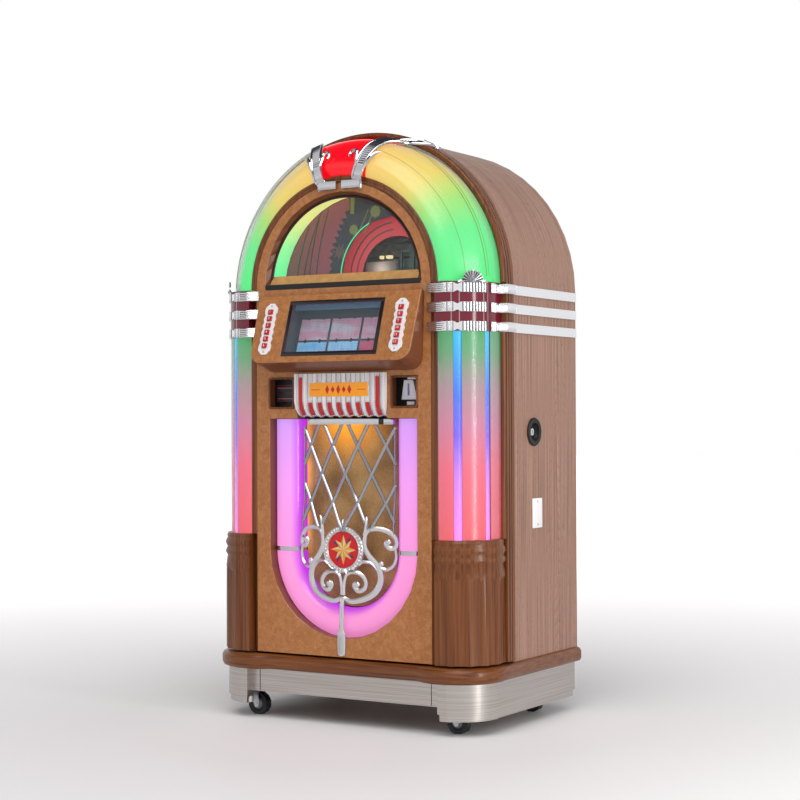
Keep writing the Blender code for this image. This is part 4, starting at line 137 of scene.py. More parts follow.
def grain_noise(material, stretch, detail, distortion=0.0):
    """A cloud pattern, with its grain per metre on each axis."""
    size = add(material, "Mapping", {"Vector": spot_of(material), "Scale": stretch})
    return add(material, "TexNoise", {"Vector": size, "Scale": 1.0, "Detail": detail,
                                      "Distortion": distortion})


def plain(name, colour, roughness=0.4, glow_strength=0.0, glow_colour=None, metallic=0.0):
    """One flat colour of ink, paint, lit plastic or metal."""
    made = new_material(name)
    wire(made, {"Base Color": colour, "Roughness": roughness, "Metallic": metallic,
                "Emission Color": glow_colour or colour, "Emission Strength": glow_strength})
    return made


def metal(name, colour, roughness):
    return plain(name, colour, roughness, metallic=1.0)


def mottled(name, stretch, detail, stops, roughness, metallic=0.0, dents=None):
    """Tones that drift into each other, with dents of a strength and a depth."""
    made = new_material(name)
    cloud = grain_noise(made, stretch, detail)
    wire(made, {"Base Color": ramp(made, cloud, *stops), "Roughness": roughness,
                "Metallic": metallic})
    if dents:
        wire(made, {"Normal": bump(made, cloud, *dents)})
    return made


def paint(material, *names):
    for name in names:
        cad[name].data.materials.clear()
        cad[name].data.materials.append(material)


# Melamine laminate printed with oak: satin, pinkish brown, pores as fine dark dashes.
# Each leaf of the figure is 250 mm wide; its pointed rings stand 32 mm apart.
OAK_DARK, OAK_MIDDLE, OAK_LIGHT = "#7d5b4a", "#a17c69", "#b69483"
LEAF_WIDTH, RING_RISE = 0.250, 0.032
oak = new_material("melamine_oak_laminate")
pores = grain_noise(oak, (2.5, 420.0, 2.5), 4.0)
figure = grain_noise(oak, (1.3, 26.0, 1.3), 2.0, 1.4)
axes = axes_of(oak)
bend = maths(oak, 'PINGPONG', maths(oak, 'MULTIPLY_ADD', figure, 0.10, axes["Y"]),
             LEAF_WIDTH / 2)
climb = maths(oak, 'MULTIPLY_ADD', maths(oak, 'POWER', bend, 2.0), 46.0, axes["Z"])
climb = maths(oak, 'MULTIPLY_ADD', figure, 0.22, climb)
growth = maths(oak, 'FRACT', maths(oak, 'MULTIPLY', climb, 1 / RING_RISE))
streaks = ramp(oak, pores, (0.36, OAK_DARK), (0.5, OAK_MIDDLE), (0.62, OAK_LIGHT))
lines = ramp(oak, growth, (0.0, "#9a7a69"), (0.12, "#dccbc0"), (0.9, "#efe4dc"))
wire(oak, {"Base Color": mix(oak, 0.75, streaks, lines, 'MULTIPLY'), "Roughness": 0.38,
           "Specular IOR Level": 0.45, "Normal": bump(oak, pores, 0.12, 0.0004)})
paint(oak, "cabinet_shell")


# Back panel and lock: fibreboard and die-cast zinc, both painted satin black, like
# the note acceptor, the amplifier and the speaker's basket.
black = mottled("satin_black_paint", (300.0, 300.0, 300.0), 2.0,
                [(0.3, "#161618"), (0.7, "#222226")], 0.42, dents=(0.15, 0.0003))
paint(black, "back_panel", "lock_housing", "note_acceptor", "amplifier", "speaker")


# Side strips: three ribbed strips pressed from bright aluminium on each side of the
# cabinet, glued over the plain strips of the shell and level with the chrome bands.
BAND_TOPS = (1.1265, 1.0785, 1.0305)
BAND_HEIGHT = 0.024
STRIP_X = CABINET_HALF + 0.0035
STRIP_SKIN, STRIP_RIB, STRIP_PITCH = 0.0006, 0.0005, 0.0065
MIRROR = Matrix.Scale(-1, 4, (1, 0, 0))


def select_only(piece):
    bpy.ops.object.select_all(action='DESELECT')
    piece.select_set(True)
    bpy.context.view_layer.objects.active = piece


def link(name, mesh):
    piece = bpy.data.objects.new(name, mesh)
    bpy.context.scene.collection.objects.link(piece)
    return piece


def sketch(name, points, filled=True):
    """A drawn outline: one closed face, or only the edges between the points."""
    count = len(points)
    edges = [] if filled else [(index, index + 1) for index in range(count - 1)]
    mesh = bpy.data.meshes.new(name)
    mesh.from_pydata([tuple(point) for point in points], edges,
                     [tuple(range(count))] if filled else [])
    return link(name, mesh)


def edit(piece, *steps):
    """Run mesh operators, each with its settings, on the whole piece."""
    select_only(piece)
    bpy.ops.object.mode_set(mode='EDIT')
    bpy.ops.mesh.select_all(action='SELECT')
    for step, settings in steps:
        step(**settings)
    bpy.ops.object.mode_set(mode='OBJECT')
    return piece


def clean(piece):
    """Merge doubles and turn all faces outward."""
    return edit(piece, (bpy.ops.mesh.remove_doubles, {"threshold": 0.00001}),
                (bpy.ops.mesh.normals_make_consistent, {"inside": False}))


def extrude(piece, vector):
    return clean(edit(piece, (bpy.ops.mesh.extrude_region_move,
                              {"TRANSFORM_OT_translate": {"value": vector}})))


def column(name, plan, low, high):
    """Raise a plan of (x, y) from one height to another."""
    return extrude(sketch(name, [(x, y, low) for x, y in plan]), (0, 0, high - low))


def slab(name, outline, y, depth):
    """Thicken an outline of (x, z), drawn at y."""
    return extrude(sketch(name, [(x, y, z) for x, z in outline]), (0, depth, 0))


def modify(piece, kind, **settings):
    select_only(piece)
    step = piece.modifiers.new("step", kind)
    for key, value in settings.items():
        setattr(step, key, value)
    bpy.ops.object.modifier_apply(modifier=step.name)
    return piece


def soften(piece, edge, angle):
    """Round the edges that are sharper than an angle in degrees."""
    return modify(piece, 'BEVEL', width=edge, segments=2, limit_method='ANGLE',
                  angle_limit=math.radians(angle))


def copy_of(piece, name, matrix):
    """A copy with its own mesh, moved or mirrored by the matrix."""
    made = piece.copy()
    made.data = piece.data.copy()
    made.name = name
    bpy.context.scene.collection.objects.link(made)
    made.data.transform(matrix)
    if matrix.determinant() < 0:
        made.data.flip_normals()
    return made


def place(piece, body, material, replaced=(), crease=35):
    """Finish a piece: smooth shading, its material and the body it rides on; hide what it
    replaces.
    """
    select_only(piece)
    bpy.ops.object.shade_smooth_by_angle(angle=math.radians(crease))
    piece.data.materials.clear()
    piece.data.materials.append(material)
    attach(piece, body)
    if replaced:
        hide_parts(*replaced)


def place_both(piece, material, replaced="", body="door", crease=35):
    """Place a right-hand piece and its mirror image on the left. What they replace is
    named up to its side."""
    other = copy_of(piece, piece.name.replace("right", "left"), MIRROR)
    for one, side in ((piece, "right"), (other, "left")):
        place(one, body, material, [replaced + side] if replaced else (), crease)


# Bright-dipped aluminium: almost white, with soft reflections.
bright = metal("bright_dipped_aluminium", "#f2f2f4", 0.22)
for index, top in enumerate(BAND_TOPS):
    front, back = CABINET_FRONT_Y + 0.003, CABINET_BACK_Y - 0.003
    ridge = [(STRIP_X + 0.0001, front), (STRIP_X + STRIP_SKIN, front)]
    y = front + STRIP_PITCH / 2
    while y < back - STRIP_PITCH:
        for step, proud in ((0, 0), (0.15, 1), (0.7, 1), (0.85, 0)):
            ridge.append((STRIP_X + STRIP_SKIN + STRIP_RIB * proud, y + STRIP_PITCH * step))
        y += STRIP_PITCH
    ridge += [(STRIP_X + STRIP_SKIN, back), (STRIP_X + 0.0001, back)]
    strip = column("side_strip_right_%d" % (index + 1), ridge, top - BAND_HEIGHT, top)
    place_both(strip, bright, body="cabinet", crease=20)


# Door seal: an extruded rubber strip in the gap between door and cabinet, on the
# side away from the hinge.
rubber = plain("moulded_black_rubber", "#101012", 0.62)
SEAL = ((0.397, BURL_Y + 0.1703, 0.232), (0.4085, BURL_Y + 0.1733, 0.998))


def applied():
    """The active object, its place and scale carried into its mesh."""
    bpy.ops.object.transform_apply(location=True, rotation=True, scale=True)
    return bpy.context.object


def block(name, low, high, edge):
    """A cut or moulded block with softened edges."""
    middle = (Vector(low) + Vector(high)) / 2
    bpy.ops.object.select_all(action='DESELECT')
    bpy.ops.mesh.primitive_cube_add(size=1, location=middle, scale=Vector(high) - Vector(low))
    piece = bpy.context.object
    piece.name = piece.data.name = name
    return modify(applied(), 'BEVEL', width=edge, segments=2, limit_method='NONE')


def fit(name, low, high, edge, material, slot, body="door"):
    """Make a block and place it."""
    place(block(name, low, high, edge), body, material)


fit("door_seal", *SEAL, 0.0012, rubber, "black_rubber", "cabinet")


# Side plate: a bare white plate of painted sheet on the right side, held by two
# chrome screws.
PLATE = ((CABINET_HALF + 0.0002, BURL_Y + 0.278, 0.505),
         (CABINET_HALF + 0.0035, BURL_Y + 0.332, 0.582))
white = plain("white_enamel", "#ebe9ea", 0.3)
fit("side_plate", *PLATE, 0.0014, white, "cream_plastic", "cabinet")


def turned(name, profile, steps, matrix):
    """Spin a (radius, height) profile about Z, then put the result in its place."""
    drawn = [(radius, 0, height) for radius, height in profile]
    piece = edit(sketch(name, drawn, filled=False),
                 (bpy.ops.mesh.spin, {"steps": steps, "angle": 2 * math.pi,
                                      "center": (0, 0, 0), "axis": (0, 0, 1)}))
    piece.data.transform(matrix)
    return clean(piece)


SCREW = [(0, 0), (0.0028, 0), (0.0028, 0.0006), (0.0018, 0.0014), (0, 0.0017)]
TO_PLUS_X = Matrix.Rotation(math.pi / 2, 4, 'Y')
chrome = metal("chrome_plate_on_zinc", "#cfcfd3", 0.08)
for index, z in enumerate((0.514, 0.573)):
    seat = Matrix.Translation((PLATE[1][0] - 0.0002, BURL_Y + 0.305, z)) @ TO_PLUS_X
    place(turned("side_plate_screw_%d" % (index + 1), SCREW, 14, seat), "cabinet",
          chrome)
paint(chrome, "lock_barrel")


# Base moulding: a bullnosed board of beech, stained brown and lacquered. Its grain
# lies flat.
def stained(name, stretch):
    """Brown stain under gloss lacquer, with grain stretched along one axis."""
    made = new_material(name)
    tone = ramp(made, grain_noise(made, stretch, 4.0, 0.3),
                (0.3, "#542b12"), (0.48, "#6c3c1c"), (0.66, "#7c4a27"))
    wire(made, {"Base Color": tone, "Roughness": 0.32, "Coat Weight": 0.15,
                "Coat Roughness": 0.08, "Specular IOR Level": 0.25})
    return made


flat_stain = stained("stained_beech_flat_grain", (7.0, 30.0, 260.0))
upright_stain = stained("stained_beech_upright_grain", (170.0, 170.0, 3.0))


def finished(node, body, material, crease):
    """The node's own form, merged and shaded round, in the node's place."""
    piece = clean(copy_of(bpy.data.objects[node], node + "_finished", Matrix.Identity(4)))
    edit(piece, (bpy.ops.mesh.dissolve_limited, {"angle_limit": math.radians(0.5)}))
    place(piece, body, material, [node], crease)


finished("base_board", "cabinet", flat_stain, 48)
for node, crease in (("door_frame", 32), ("pilaster_base_left", 19),
                     ("pilaster_base_right", 19)):
    finished(node, "door", upright_stain, crease)


# Plinth: a skirt of brushed stainless sheet, folded round the casters, with its
# brush lines lying flat.
steel = mottled("brushed_stainless_steel", (3.0, 3.0, 900.0), 2.0,
                [(0.3, "#a9a19b"), (0.7, "#cdc8c3")], 0.3, 1.0, (0.2, 0.0002))
paint(steel, "cabinet_hinge_leaf", "door_hinge_leaf", "transfer_arm")
finished("steel_plinth", "cabinet", steel, 20)
for index, x in enumerate((-0.262, 0.262)):
    fit("plinth_seam_%d" % (index + 1), (x - 0.0008, BURL_Y + 0.0032, 0.074),
        (x + 0.0008, BURL_Y + 0.0045, 0.1312), 0.0003, black, "dark_metal", "cabinet")


# Casters: zinc-plated steel forks and black rubber tyres on grey hubs.
zinc = metal("zinc_plated_steel", "#b4b6ba", 0.34)
WHEEL_X, WHEEL_Z = 0.307, 0.029
tyre = new_material("rubber_tyre_on_grey_hub")
axes = axes_of(tyre)
across = maths(tyre, 'SUBTRACT', maths(tyre, 'ABSOLUTE', axes["X"]), WHEEL_X)
height = maths(tyre, 'SUBTRACT', axes["Z"], WHEEL_Z)
radial = measure(tyre, 'LENGTH', add(tyre, "CombineXYZ", {"X": across, "Z": height}))
wire(tyre, {"Base Color": ramp(tyre, radial, (0.0118, "#77797c"), (0.0122, "#17171a")),
            "Roughness": 0.5})
ENDS = [front + "_" + side for front in ("front", "rear") for side in ("left", "right")]
paint(zinc, *["caster_fork_" + end for end in ENDS])
paint(tyre, *["caster_wheel_" + end for end in ENDS])


# Door panel and selector housing: board and moulded shell faced with burl veneer
# under satin lacquer. What doesn't face forward is stained brown.
def burl_faced(name, outward, level):
    """Burl where a point lies beyond the level along outward, brown lacquer elsewhere."""
    made = new_material(name)
    tone = ramp(made, grain_noise(made, (70.0, 70.0, 70.0), 5.0, 0.8),
                (0.3, "#9c6334"), (0.5, "#a96d3d"), (0.7, "#b47b49"))
    fleck = ramp(made, grain_noise(made, (330.0, 330.0, 330.0), 2.0),
                 (0.30, "#9c7656"), (0.38, "#ffffff"))
    along = measure(made, 'DOT_PRODUCT', spot_of(made), outward)
    both = mix(made, maths(made, 'GREATER_THAN', along, level), "#74442c",
               mix(made, 1.0, tone, fleck, 'MULTIPLY'))
    wire(made, {"Base Color": both, "Roughness": 0.35, "Coat Weight": 0.12,
                "Coat Roughness": 0.15, "Specular IOR Level": 0.35})
    return made


FACE_EDGE = 0.0012
SLOPE_OUT = (0.0, -0.949425, 0.313992)
SLOPE_TOP = Vector((0, BURL_Y - 0.0112, 1.1133))
paint(burl_faced("burl_veneer_on_panel", (0.0, -1.0, 0.0), -BURL_Y - FACE_EDGE), "door_panel")
paint(burl_faced("burl_veneer_on_slope", SLOPE_OUT,
                 Vector(SLOPE_OUT).dot(SLOPE_TOP) - FACE_EDGE), "selector_housing")


# Window: toughened glass in a black rubber gasket with a fine red bead, and a tan
# sill behind its foot.
WINDOW_Z = 1.135
GASKET_Y, GASKET_FOOT_Z = BURL_Y + 0.0165, 1.136
glass = new_material("toughened_clear_glass")
wire(glass, {"Base Color": "#aebab8", "Roughness": 0.02, "Alpha": 0.05,
             "Specular IOR Level": 0.3})
paint(glass, "window_glass", "selector_glass")


def spaced(first, last, steps):
    """Even steps from first to last."""
    return [first + (last - first) * step / steps for step in range(steps + 1)]


def around(radius, turn, across=0.0, up=0.0):
    """The point at a radius and a turn in radians from a middle."""
    return (across + radius * math.cos(turn), up + radius * math.sin(turn))


def window_arch(radius, low, y):
    """Points over the window from its left foot to its right foot."""
    lift = math.asin((low - WINDOW_Z) / radius)
    return [(x, y, z) for x, z in (around(radius, turn, 0, WINDOW_Z)
                                   for turn in spaced(math.pi - lift, lift, 48))]


def cord_piece(name, points, radii, cyclic=False, sides=2):
    """A round bar along points, with one radius or a radius at each point."""
    curve = bpy.data.curves.new(name, 'CURVE')
    curve.dimensions = '3D'
    curve.bevel_depth = 1.0
    curve.bevel_resolution = sides
    curve.use_fill_caps = True
    line = curve.splines.new('POLY')
    line.points.add(len(points) - 1)
    line.use_cyclic_u = cyclic
    widths = radii if isinstance(radii, (list, tuple)) else [radii] * len(points)
    for spot, point, radius in zip(line.points, points, widths):
        spot.co = (*point, 1)
        spot.radius = radius
    select_only(link(name, curve))
    bpy.ops.object.convert(target='MESH')
    return bpy.context.object


place(cord_piece("window_gasket", window_arch(0.2285, GASKET_FOOT_Z, GASKET_Y), 0.0036),
      "door", rubber)
fit("window_gasket_foot", (-0.2385, BURL_Y - 0.0006, 1.1285),
    (0.2385, BURL_Y + 0.0165, 1.1428), 0.0016, rubber, "black_rubber")
bead_red = plain("dark_red_bead", "#7c1b22", 0.35)
place(cord_piece("window_gasket_bead", window_arch(0.2254, 1.146, GASKET_Y - 0.0012), 0.0009),
      "door", bead_red)
tan = mottled("tan_laminate", (60.0, 60.0, 60.0), 3.0, [(0.3, "#b0824f"), (0.7, "#c2965f")],
              0.3)
sill = extrude(sketch("window_sill", [(-0.2262, BURL_Y + depth, z) for depth, z in (
    (0.0052, 1.1425), (0.0192, 1.1655), (0.0198, 1.1585), (0.0062, 1.1425))]), (0.4524, 0, 0))
place(sill, "door", tan)


# Display behind the window: a vacuum-formed tray whose arched wall glows green to
# yellow, with screen-printed acrylic panels on its back and a round view through it.
TRAY_BACK_Y = BURL_Y + 0.101
TRAY_ARC = 0.245
tray = new_material("lit_display_tray")
axes = axes_of(tray)
glow = ramp(tray, ranged(tray, axes["Z"], 1.16, 1.36),
            (0.0, "#5df79c"), (0.45, "#8fee98"), (0.8, "#e0e68a"))
lit = maths(tray, 'MULTIPLY', maths(tray, 'LESS_THAN', axes["Y"], TRAY_BACK_Y - 0.0005),
            maths(tray, 'GREATER_THAN', axes["Z"], 1.1215))
wire(tray, {"Base Color": mix(tray, lit, "#23242c", glow), "Roughness": 0.35,
            "Emission Color": glow, "Emission Strength": maths(tray, 'MULTIPLY', lit, 0.8)})
paint(tray, "window_backdrop")

ARC_X, ARC_Z, ARC_RADIUS = 0.090, 1.160, 0.155
curtain_red = plain("printed_curtain_red", "#86404c", 0.35, 0.28)
pleat_green = plain("printed_pleat_green", "#24403a", 0.35)
night_blue = plain("printed_night_blue", "#2b2a3a", 0.3)
olive = plain("printed_olive", "#767a44", 0.35, 0.15)
# Fringe between curtain and night blue, from the foot up, at the picture's scale
FRINGE = [(-0.105, 1.128), (-0.104, 1.178), (-0.094, 1.187), (-0.103, 1.197),
          (-0.091, 1.206), (-0.104, 1.217), (-0.090, 1.224), (-0.101, 1.236),
          (-0.084, 1.240), (-0.094, 1.254), (-0.078, 1.256), (-0.086, 1.270),
          (-0.070, 1.272), (-0.080, 1.287), (-0.063, 1.287), (-0.073, 1.303),
          (-0.055, 1.302), (-0.064, 1.318), (-0.046, 1.318), (-0.052, 1.336),
          (-0.038, 1.338), (-0.038, 1.3722)]


def inner_arc(first, last):
    """Points on the tray's arch between two turns, in degrees from the right foot."""
    return [around(TRAY_ARC, math.radians(turn), 0, ARCH_Z)
            for turn in spaced(first, last, 20)]


def print_panel(name, outline, material, layer):
    """A printed area, a sheet of film on the tray's back."""
    place(slab(name, outline, TRAY_BACK_Y - 0.0004 * layer, -0.0003), "door", material)


fringe_top = math.degrees(math.atan2(FRINGE[-1][1] - ARCH_Z, FRINGE[-1][0]))
rim_path = [around(ARC_RADIUS, math.radians(turn), ARC_X, ARC_Z)
            for turn in spaced(188.5, 100.5, 30)]
print_panel("display_curtain", [(-0.245, 1.128)] + FRINGE + inner_arc(fringe_top, 179),
            curtain_red, 1)
print_panel("display_night", [(-0.0633, 1.128)] + rim_path + inner_arc(55.5, fringe_top)
            + FRINGE[::-1], night_blue, 1)
# Pleats: pairs of dark lines that lean in as they rise
for index, (foot_x, head_x, head_z) in enumerate(
        ((-0.209, -0.165, 1.305), (-0.187, -0.126, 1.341), (-0.168, -0.132, 1.328),
         (-0.147, -0.104, 1.343))):
    line = []
    for side in (0.0016, -0.0016):
        part = [(foot_x + (head_x - foot_x) * share ** 1.7 + side,
                 1.129 + (head_z - 1.129) * share) for share in spaced(0, 1, 10)]
        line += part if side > 0 else part[::-1]
    print_panel("display_pleat_%d" % (index + 1), line, pleat_green, 2)


def star_outline(x, z, outer, inner, count, turn=0.0):
    return [around(inner if step % 2 else outer, turn + math.pi * step / count, x, z)
            for step in range(2 * count)]


# Night motifs: plain rings, bars and a burst
print_panel("display_burst", star_outline(-0.0690, 1.2300, 0.026, 0.011, 9, 0.3),
            plain("printed_brown", "#5d4a44", 0.35), 2)
print_panel("display_fan_1", star_outline(-0.0250, 1.2860, 0.015, 0.012, 8), olive, 2)
print_panel("display_fan_2", star_outline(0.0420, 1.3300, 0.017, 0.014, 8), olive, 2)
for index, (x, z, width, height, lean) in enumerate(
        ((-0.029, 1.352, 0.012, 0.048, -2), (0.006, 1.308, 0.0025, 0.064, -27),
         (0.018, 1.296, 0.0025, 0.052, -27), (0.060, 1.352, 0.034, 0.020, -35))):
    cos, sin = around(1.0, math.radians(lean))
    corners = [(width / 2 * u, height / 2 * v) for u, v in ((-1, -1), (1, -1), (1, 1), (-1, 1))]
    print_panel("display_bar_%d" % (index + 1),
                [(x + u * cos - v * sin, z + u * sin + v * cos) for u, v in corners], olive, 2)
# Edge of the view: edge-lit acrylic, bright green at its foot
edge_green = plain("edge_lit_acrylic", "#3fd08a", 0.2, 0.8)
place(cord_piece("display_view_edge", [(x, TRAY_BACK_Y - 0.0018, z) for x, z in rim_path[2:26]],
                 0.0016), "door", edge_green)


# Second display panel: red film with dark lines, seen through the round view, on
# spacers behind the tray.
DEEP_Y = BURL_Y + 0.128
band_red = plain("printed_band_red", "#b8303a", 0.35, 0.6)
line_green = plain("printed_line_green", "#3a4a34", 0.35)
for name, low, high, first, last, y, material in (
        ("band", 0.106, 0.172, 186, 62, DEEP_Y, band_red),
        ("line_1", 0.141, 0.1442, 185, 95, DEEP_Y - 0.001, line_green),
        ("line_2", 0.122, 0.1252, 185, 95, DEEP_Y - 0.001, line_green)):
    turns = [math.radians(turn) for turn in spaced(first, last, 24)]
    outline = ([around(high, turn, ARC_X, ARC_Z) for turn in turns]
               + [around(low, turn, ARC_X, ARC_Z) for turn in reversed(turns)])
    place(slab("display_red_" + name, outline, y, -0.0008), "door", material)
for index, (x, z) in enumerate(((-0.060, 1.250), (-0.045, 1.282), (0.0, 1.318))):
    fit("display_spacer_%d" % (index + 1), (x - 0.004, TRAY_BACK_Y + 0.0032, z - 0.004),
        (x + 0.004, DEEP_Y - 0.0002, z + 0.004), 0.0008, black, "dark_metal")


# Arch plastics: a clear acrylic skin with fine moulded lines, over an inner diffuser
# of coloured acrylic that is lit from behind, green at the foot and amber at the top.
LENS_X, LENS_Y, LENS_RADIUS = 0.290, BURL_Y + 0.0925, 0.105
LENS_ROOT_Y, LENS_BACK_Y = BURL_Y + 0.0136, BURL_Y + 0.1497
LENS_START = -93.6
CREST_TURN = 75.0
SKIN_WALL, SKIN_GROOVES, GROOVE_DEPTH = 0.0022, (-64, -61, -33, -13), 0.0007
DIFFUSER_GAP, DIFFUSER_SIDE_GAP = 0.0040, 0.011
SHOULDER, SHOULDER_TURN = 0.012, -70
FLANK_EASE, FLANK_START = 0.018, 85


def lens_section(first, last, gap, side_gap, wall, grooves=(), steps=36, shoulder=SHOULDER):
    """Closed (x, y) section of a shell along the lens, with grooves at some turns and a
    rounded shoulder beside the burl."""
    turns = spaced(first, last, steps)
    for middle in grooves:
        turns += [middle - 0.9, middle - 0.6, middle + 0.6, middle + 0.9]
    outer, inner = [], []
    for turn in sorted(turns):
        sunk = GROOVE_DEPTH if any(abs(turn - middle) < 0.7 for middle in grooves) else 0
        sunk += shoulder * max(0, (SHOULDER_TURN - turn) / (SHOULDER_TURN - LENS_START)) ** 2
        angle = math.radians(turn)
        for side, depth in ((outer, sunk), (inner, sunk + wall)):
            side.append((LENS_X + (LENS_RADIUS - side_gap - depth) * math.cos(angle),
                         LENS_Y + (LENS_RADIUS - gap - depth) * math.sin(angle)))
    if last >= 0:
        outer.append((outer[-1][0], LENS_BACK_Y - 0.0004))
        inner.append((inner[-1][0], LENS_BACK_Y - 0.0004))
    if first <= LENS_START:
        outer.insert(0, (outer[0][0], LENS_ROOT_Y))
        inner.insert(0, (outer[0][0] + wall, LENS_ROOT_Y))
        inner[1] = (outer[0][0] + wall, inner[1][1])
    return outer + inner[::-1]


def round_arch(name, section, first, last, steps):
    """Carry a section of (radius, y) round the arch, between two turns in degrees."""
    piece = edit(sketch(name, [(x, y, ARCH_Z) for x, y in section]),
                 (bpy.ops.mesh.spin, {"steps": steps, "angle": math.radians(last - first),
                                      "center": (0, 0, ARCH_Z), "axis": (0, 1, 0)}))
    piece.data.transform(Matrix.Translation((0, 0, ARCH_Z))
                         @ Matrix.Rotation(math.radians(-first), 4, 'Y')
                         @ Matrix.Translation((0, 0, -ARCH_Z)))
    return clean(piece)


def ease_flank(piece):
    """Flatten the outer flank of an arch piece, most at 30 degrees, not at the crest."""
    for vertex in piece.data.vertices:
        x, y, z = vertex.co
        radius = math.hypot(x, z - ARCH_Z)
        out, ahead = radius - LENS_X, y - LENS_Y
        turn = math.degrees(math.atan2(ahead, out))
        climb = math.degrees(math.atan2(z - ARCH_Z, x)) / CREST_TURN
        if -FLANK_START < turn < 0 and climb < 1:
            fade = (1 - climb ** 2) * (0.75 + 0.8 * climb)
            ease = FLANK_EASE * fade * math.sin(math.pi * (turn + FLANK_START) / FLANK_START)
            kept = 1 - ease / math.hypot(out, ahead)
            grow = (LENS_X + out * kept) / radius
            vertex.co = (x * grow, LENS_Y + ahead * kept, ARCH_Z + (z - ARCH_Z) * grow)
    return piece


def lit_plastic(name, stops, low, high, arch=False, strength=0.7, share=0.35):
    """Coloured acrylic lit from behind, its colour running up or round the arch."""
    made = new_material(name)
    axes = axes_of(made)
    way = axes["Z"]
    if arch:
        way = maths(made, 'ARCTAN2', maths(made, 'SUBTRACT', way, ARCH_Z),
                    maths(made, 'ABSOLUTE', axes["X"]))
    tone = ramp(made, ranged(made, way, low, high), *stops)
    wire(made, {"Base Color": mix(made, share, "#000000", tone), "Roughness": 0.25,
                "Emission Color": tone, "Emission Strength": strength})
    return made


arch_glow = lit_plastic("lit_arch_acrylic",
                        [(0.0, "#4df083"), (0.30, "#68ee8c"), (0.48, "#a4e274"),
                         (0.66, "#ecd668"), (1.0, "#fccf6c")],
                        0.0, math.radians(CREST_TURN), arch=True)
# Clear acrylic: nearly unseen face on, a grey skin with bright lines at its edges.
skin = new_material("clear_acrylic_skin")
edge_on = add(skin, "LayerWeight", {"Blend": 0.35}).outputs["Facing"]
wire(skin, {"Base Color": "#b4b8bc", "Roughness": 0.05,
            "Alpha": ranged(skin, edge_on, 0.25, 0.95, 0.04, 0.55),
            "Specular IOR Level": 0.7})
arch_core = round_arch("arch_diffuser_right",
                       lens_section(LENS_START, 0, DIFFUSER_GAP, DIFFUSER_SIDE_GAP, 0.002),
                       0.2, CREST_TURN - 0.2, 30)
arch_skin = round_arch("arch_lens_skin_right",
                       lens_section(LENS_START, 0, 0, 0, SKIN_WALL, SKIN_GROOVES),
                       0.2, CREST_TURN - 0.2, 40)
place_both(ease_flank(arch_core), arch_glow, "arch_lens_")
place_both(ease_flank(arch_skin), skin, "arch_lens_")


# Crest: a red acrylic plate over the top of the arch, lit from behind. It lies a
# little lower than the arch plastics, and the castings cover its ends.
CREST_DROP = 0.0055
crest_red = plain("lit_red_acrylic", "#8c0414", 0.12, 0.75, "#ff0a1c")
crest = round_arch("crest_plastic",
                   lens_section(LENS_START, 0, CREST_DROP, CREST_DROP, 0.003),
                   CREST_TURN + 0.1, 180 - CREST_TURN - 0.1, 12)
place(crest, "door", crest_red, ["crest_lens"])


# Crest castings: two chrome-plated zinc castings. Each rises from a foot on the burl
# that turns towards the middle, and runs back over the arch as a ribbed band.
CREST_FOOT_LEAN, SCROLL_LEAN = 11.6, 12.6
# Lean in degrees and share of the width, up the lens and then back to the tail, where
# the share of the depth and of the climb come first
CREST_STATIONS = [(11.9, 0.62), (12.2, 0.64), (12.5, 0.68), (13.0, 0.73), (13.8, 0.77),
                  (15.2, 0.80), (17.2, 0.82), (19.6, 0.82)]
CREST_TAIL = [(0.30, 0.45, 22.6, 0.80), (0.62, 1, 26.0, 0.72), (0.84, 1, 28.4, 0.50),
              (1, 1, 30.0, 0.22)]
CREST_HALF = 0.0250
CREST_LIFT = 0.0006
# Across the casting and up from its underside: two side beads and a middle trough
CREST_BEAD = [(1, 0.55), (0.93, 0.95), (0.80, 1.1), (0.66, 0.95), (0.58, 0.45), (0.30, 0.40)]
CREST_SECTION = ([(-1, 0), (0, 0), (1, 0)] + CREST_BEAD + [(0, 0.40)]
                 + [(-across, rise) for across, rise in reversed(CREST_BEAD)])


def loft(name, rings):
    """A skin over rings of equal count, capped at its ends."""
    count, total = len(rings[0]), len(rings)
    faces = []
    for here in range(0, (total - 1) * count, count):
        for step in range(count):
            after = (step + 1) % count
            faces.append((here + step, here + after, here + count + after,
                          here + count + step))
    faces += [tuple(range(count)), tuple(range((total - 1) * count, total * count))]
    mesh = bpy.data.meshes.new(name)
    mesh.from_pydata([tuple(point) for ring in rings for point in ring], [], faces)
    return clean(link(name, mesh))


def smooth_path(knots, steps):
    """Points on a smooth curve through knots of any number of values."""
    ends = [knots[0]] + list(knots) + [knots[-1]]
    path = []
    for index in range(1, len(ends) - 2):
        a, b, c, d = ends[index - 1:index + 3]
        for step in range(steps):
            t = step / steps
            path.append(tuple(0.5 * (2 * q + (r - p) * t + (2 * p - 5 * q + 4 * r - s) * t * t
                                     + (3 * q - p - 3 * r + s) * t ** 3)
                              for p, q, r, s in zip(a, b, c, d)))
    path.append(tuple(knots[-1]))
    return path


def lens_front(turn, proud):
    """(radius, y) on the lens at a turn in degrees, raised by proud."""
    return around(LENS_RADIUS + proud, math.radians(turn), LENS_X, LENS_Y)


def on_arch(radius, y, lean, along=0.0):
    """A point by its radius and its lean in degrees, shifted along the arch."""
    angle = math.radians(lean) + along / radius
    return (radius * math.sin(angle), y, ARCH_Z + radius * math.cos(angle))


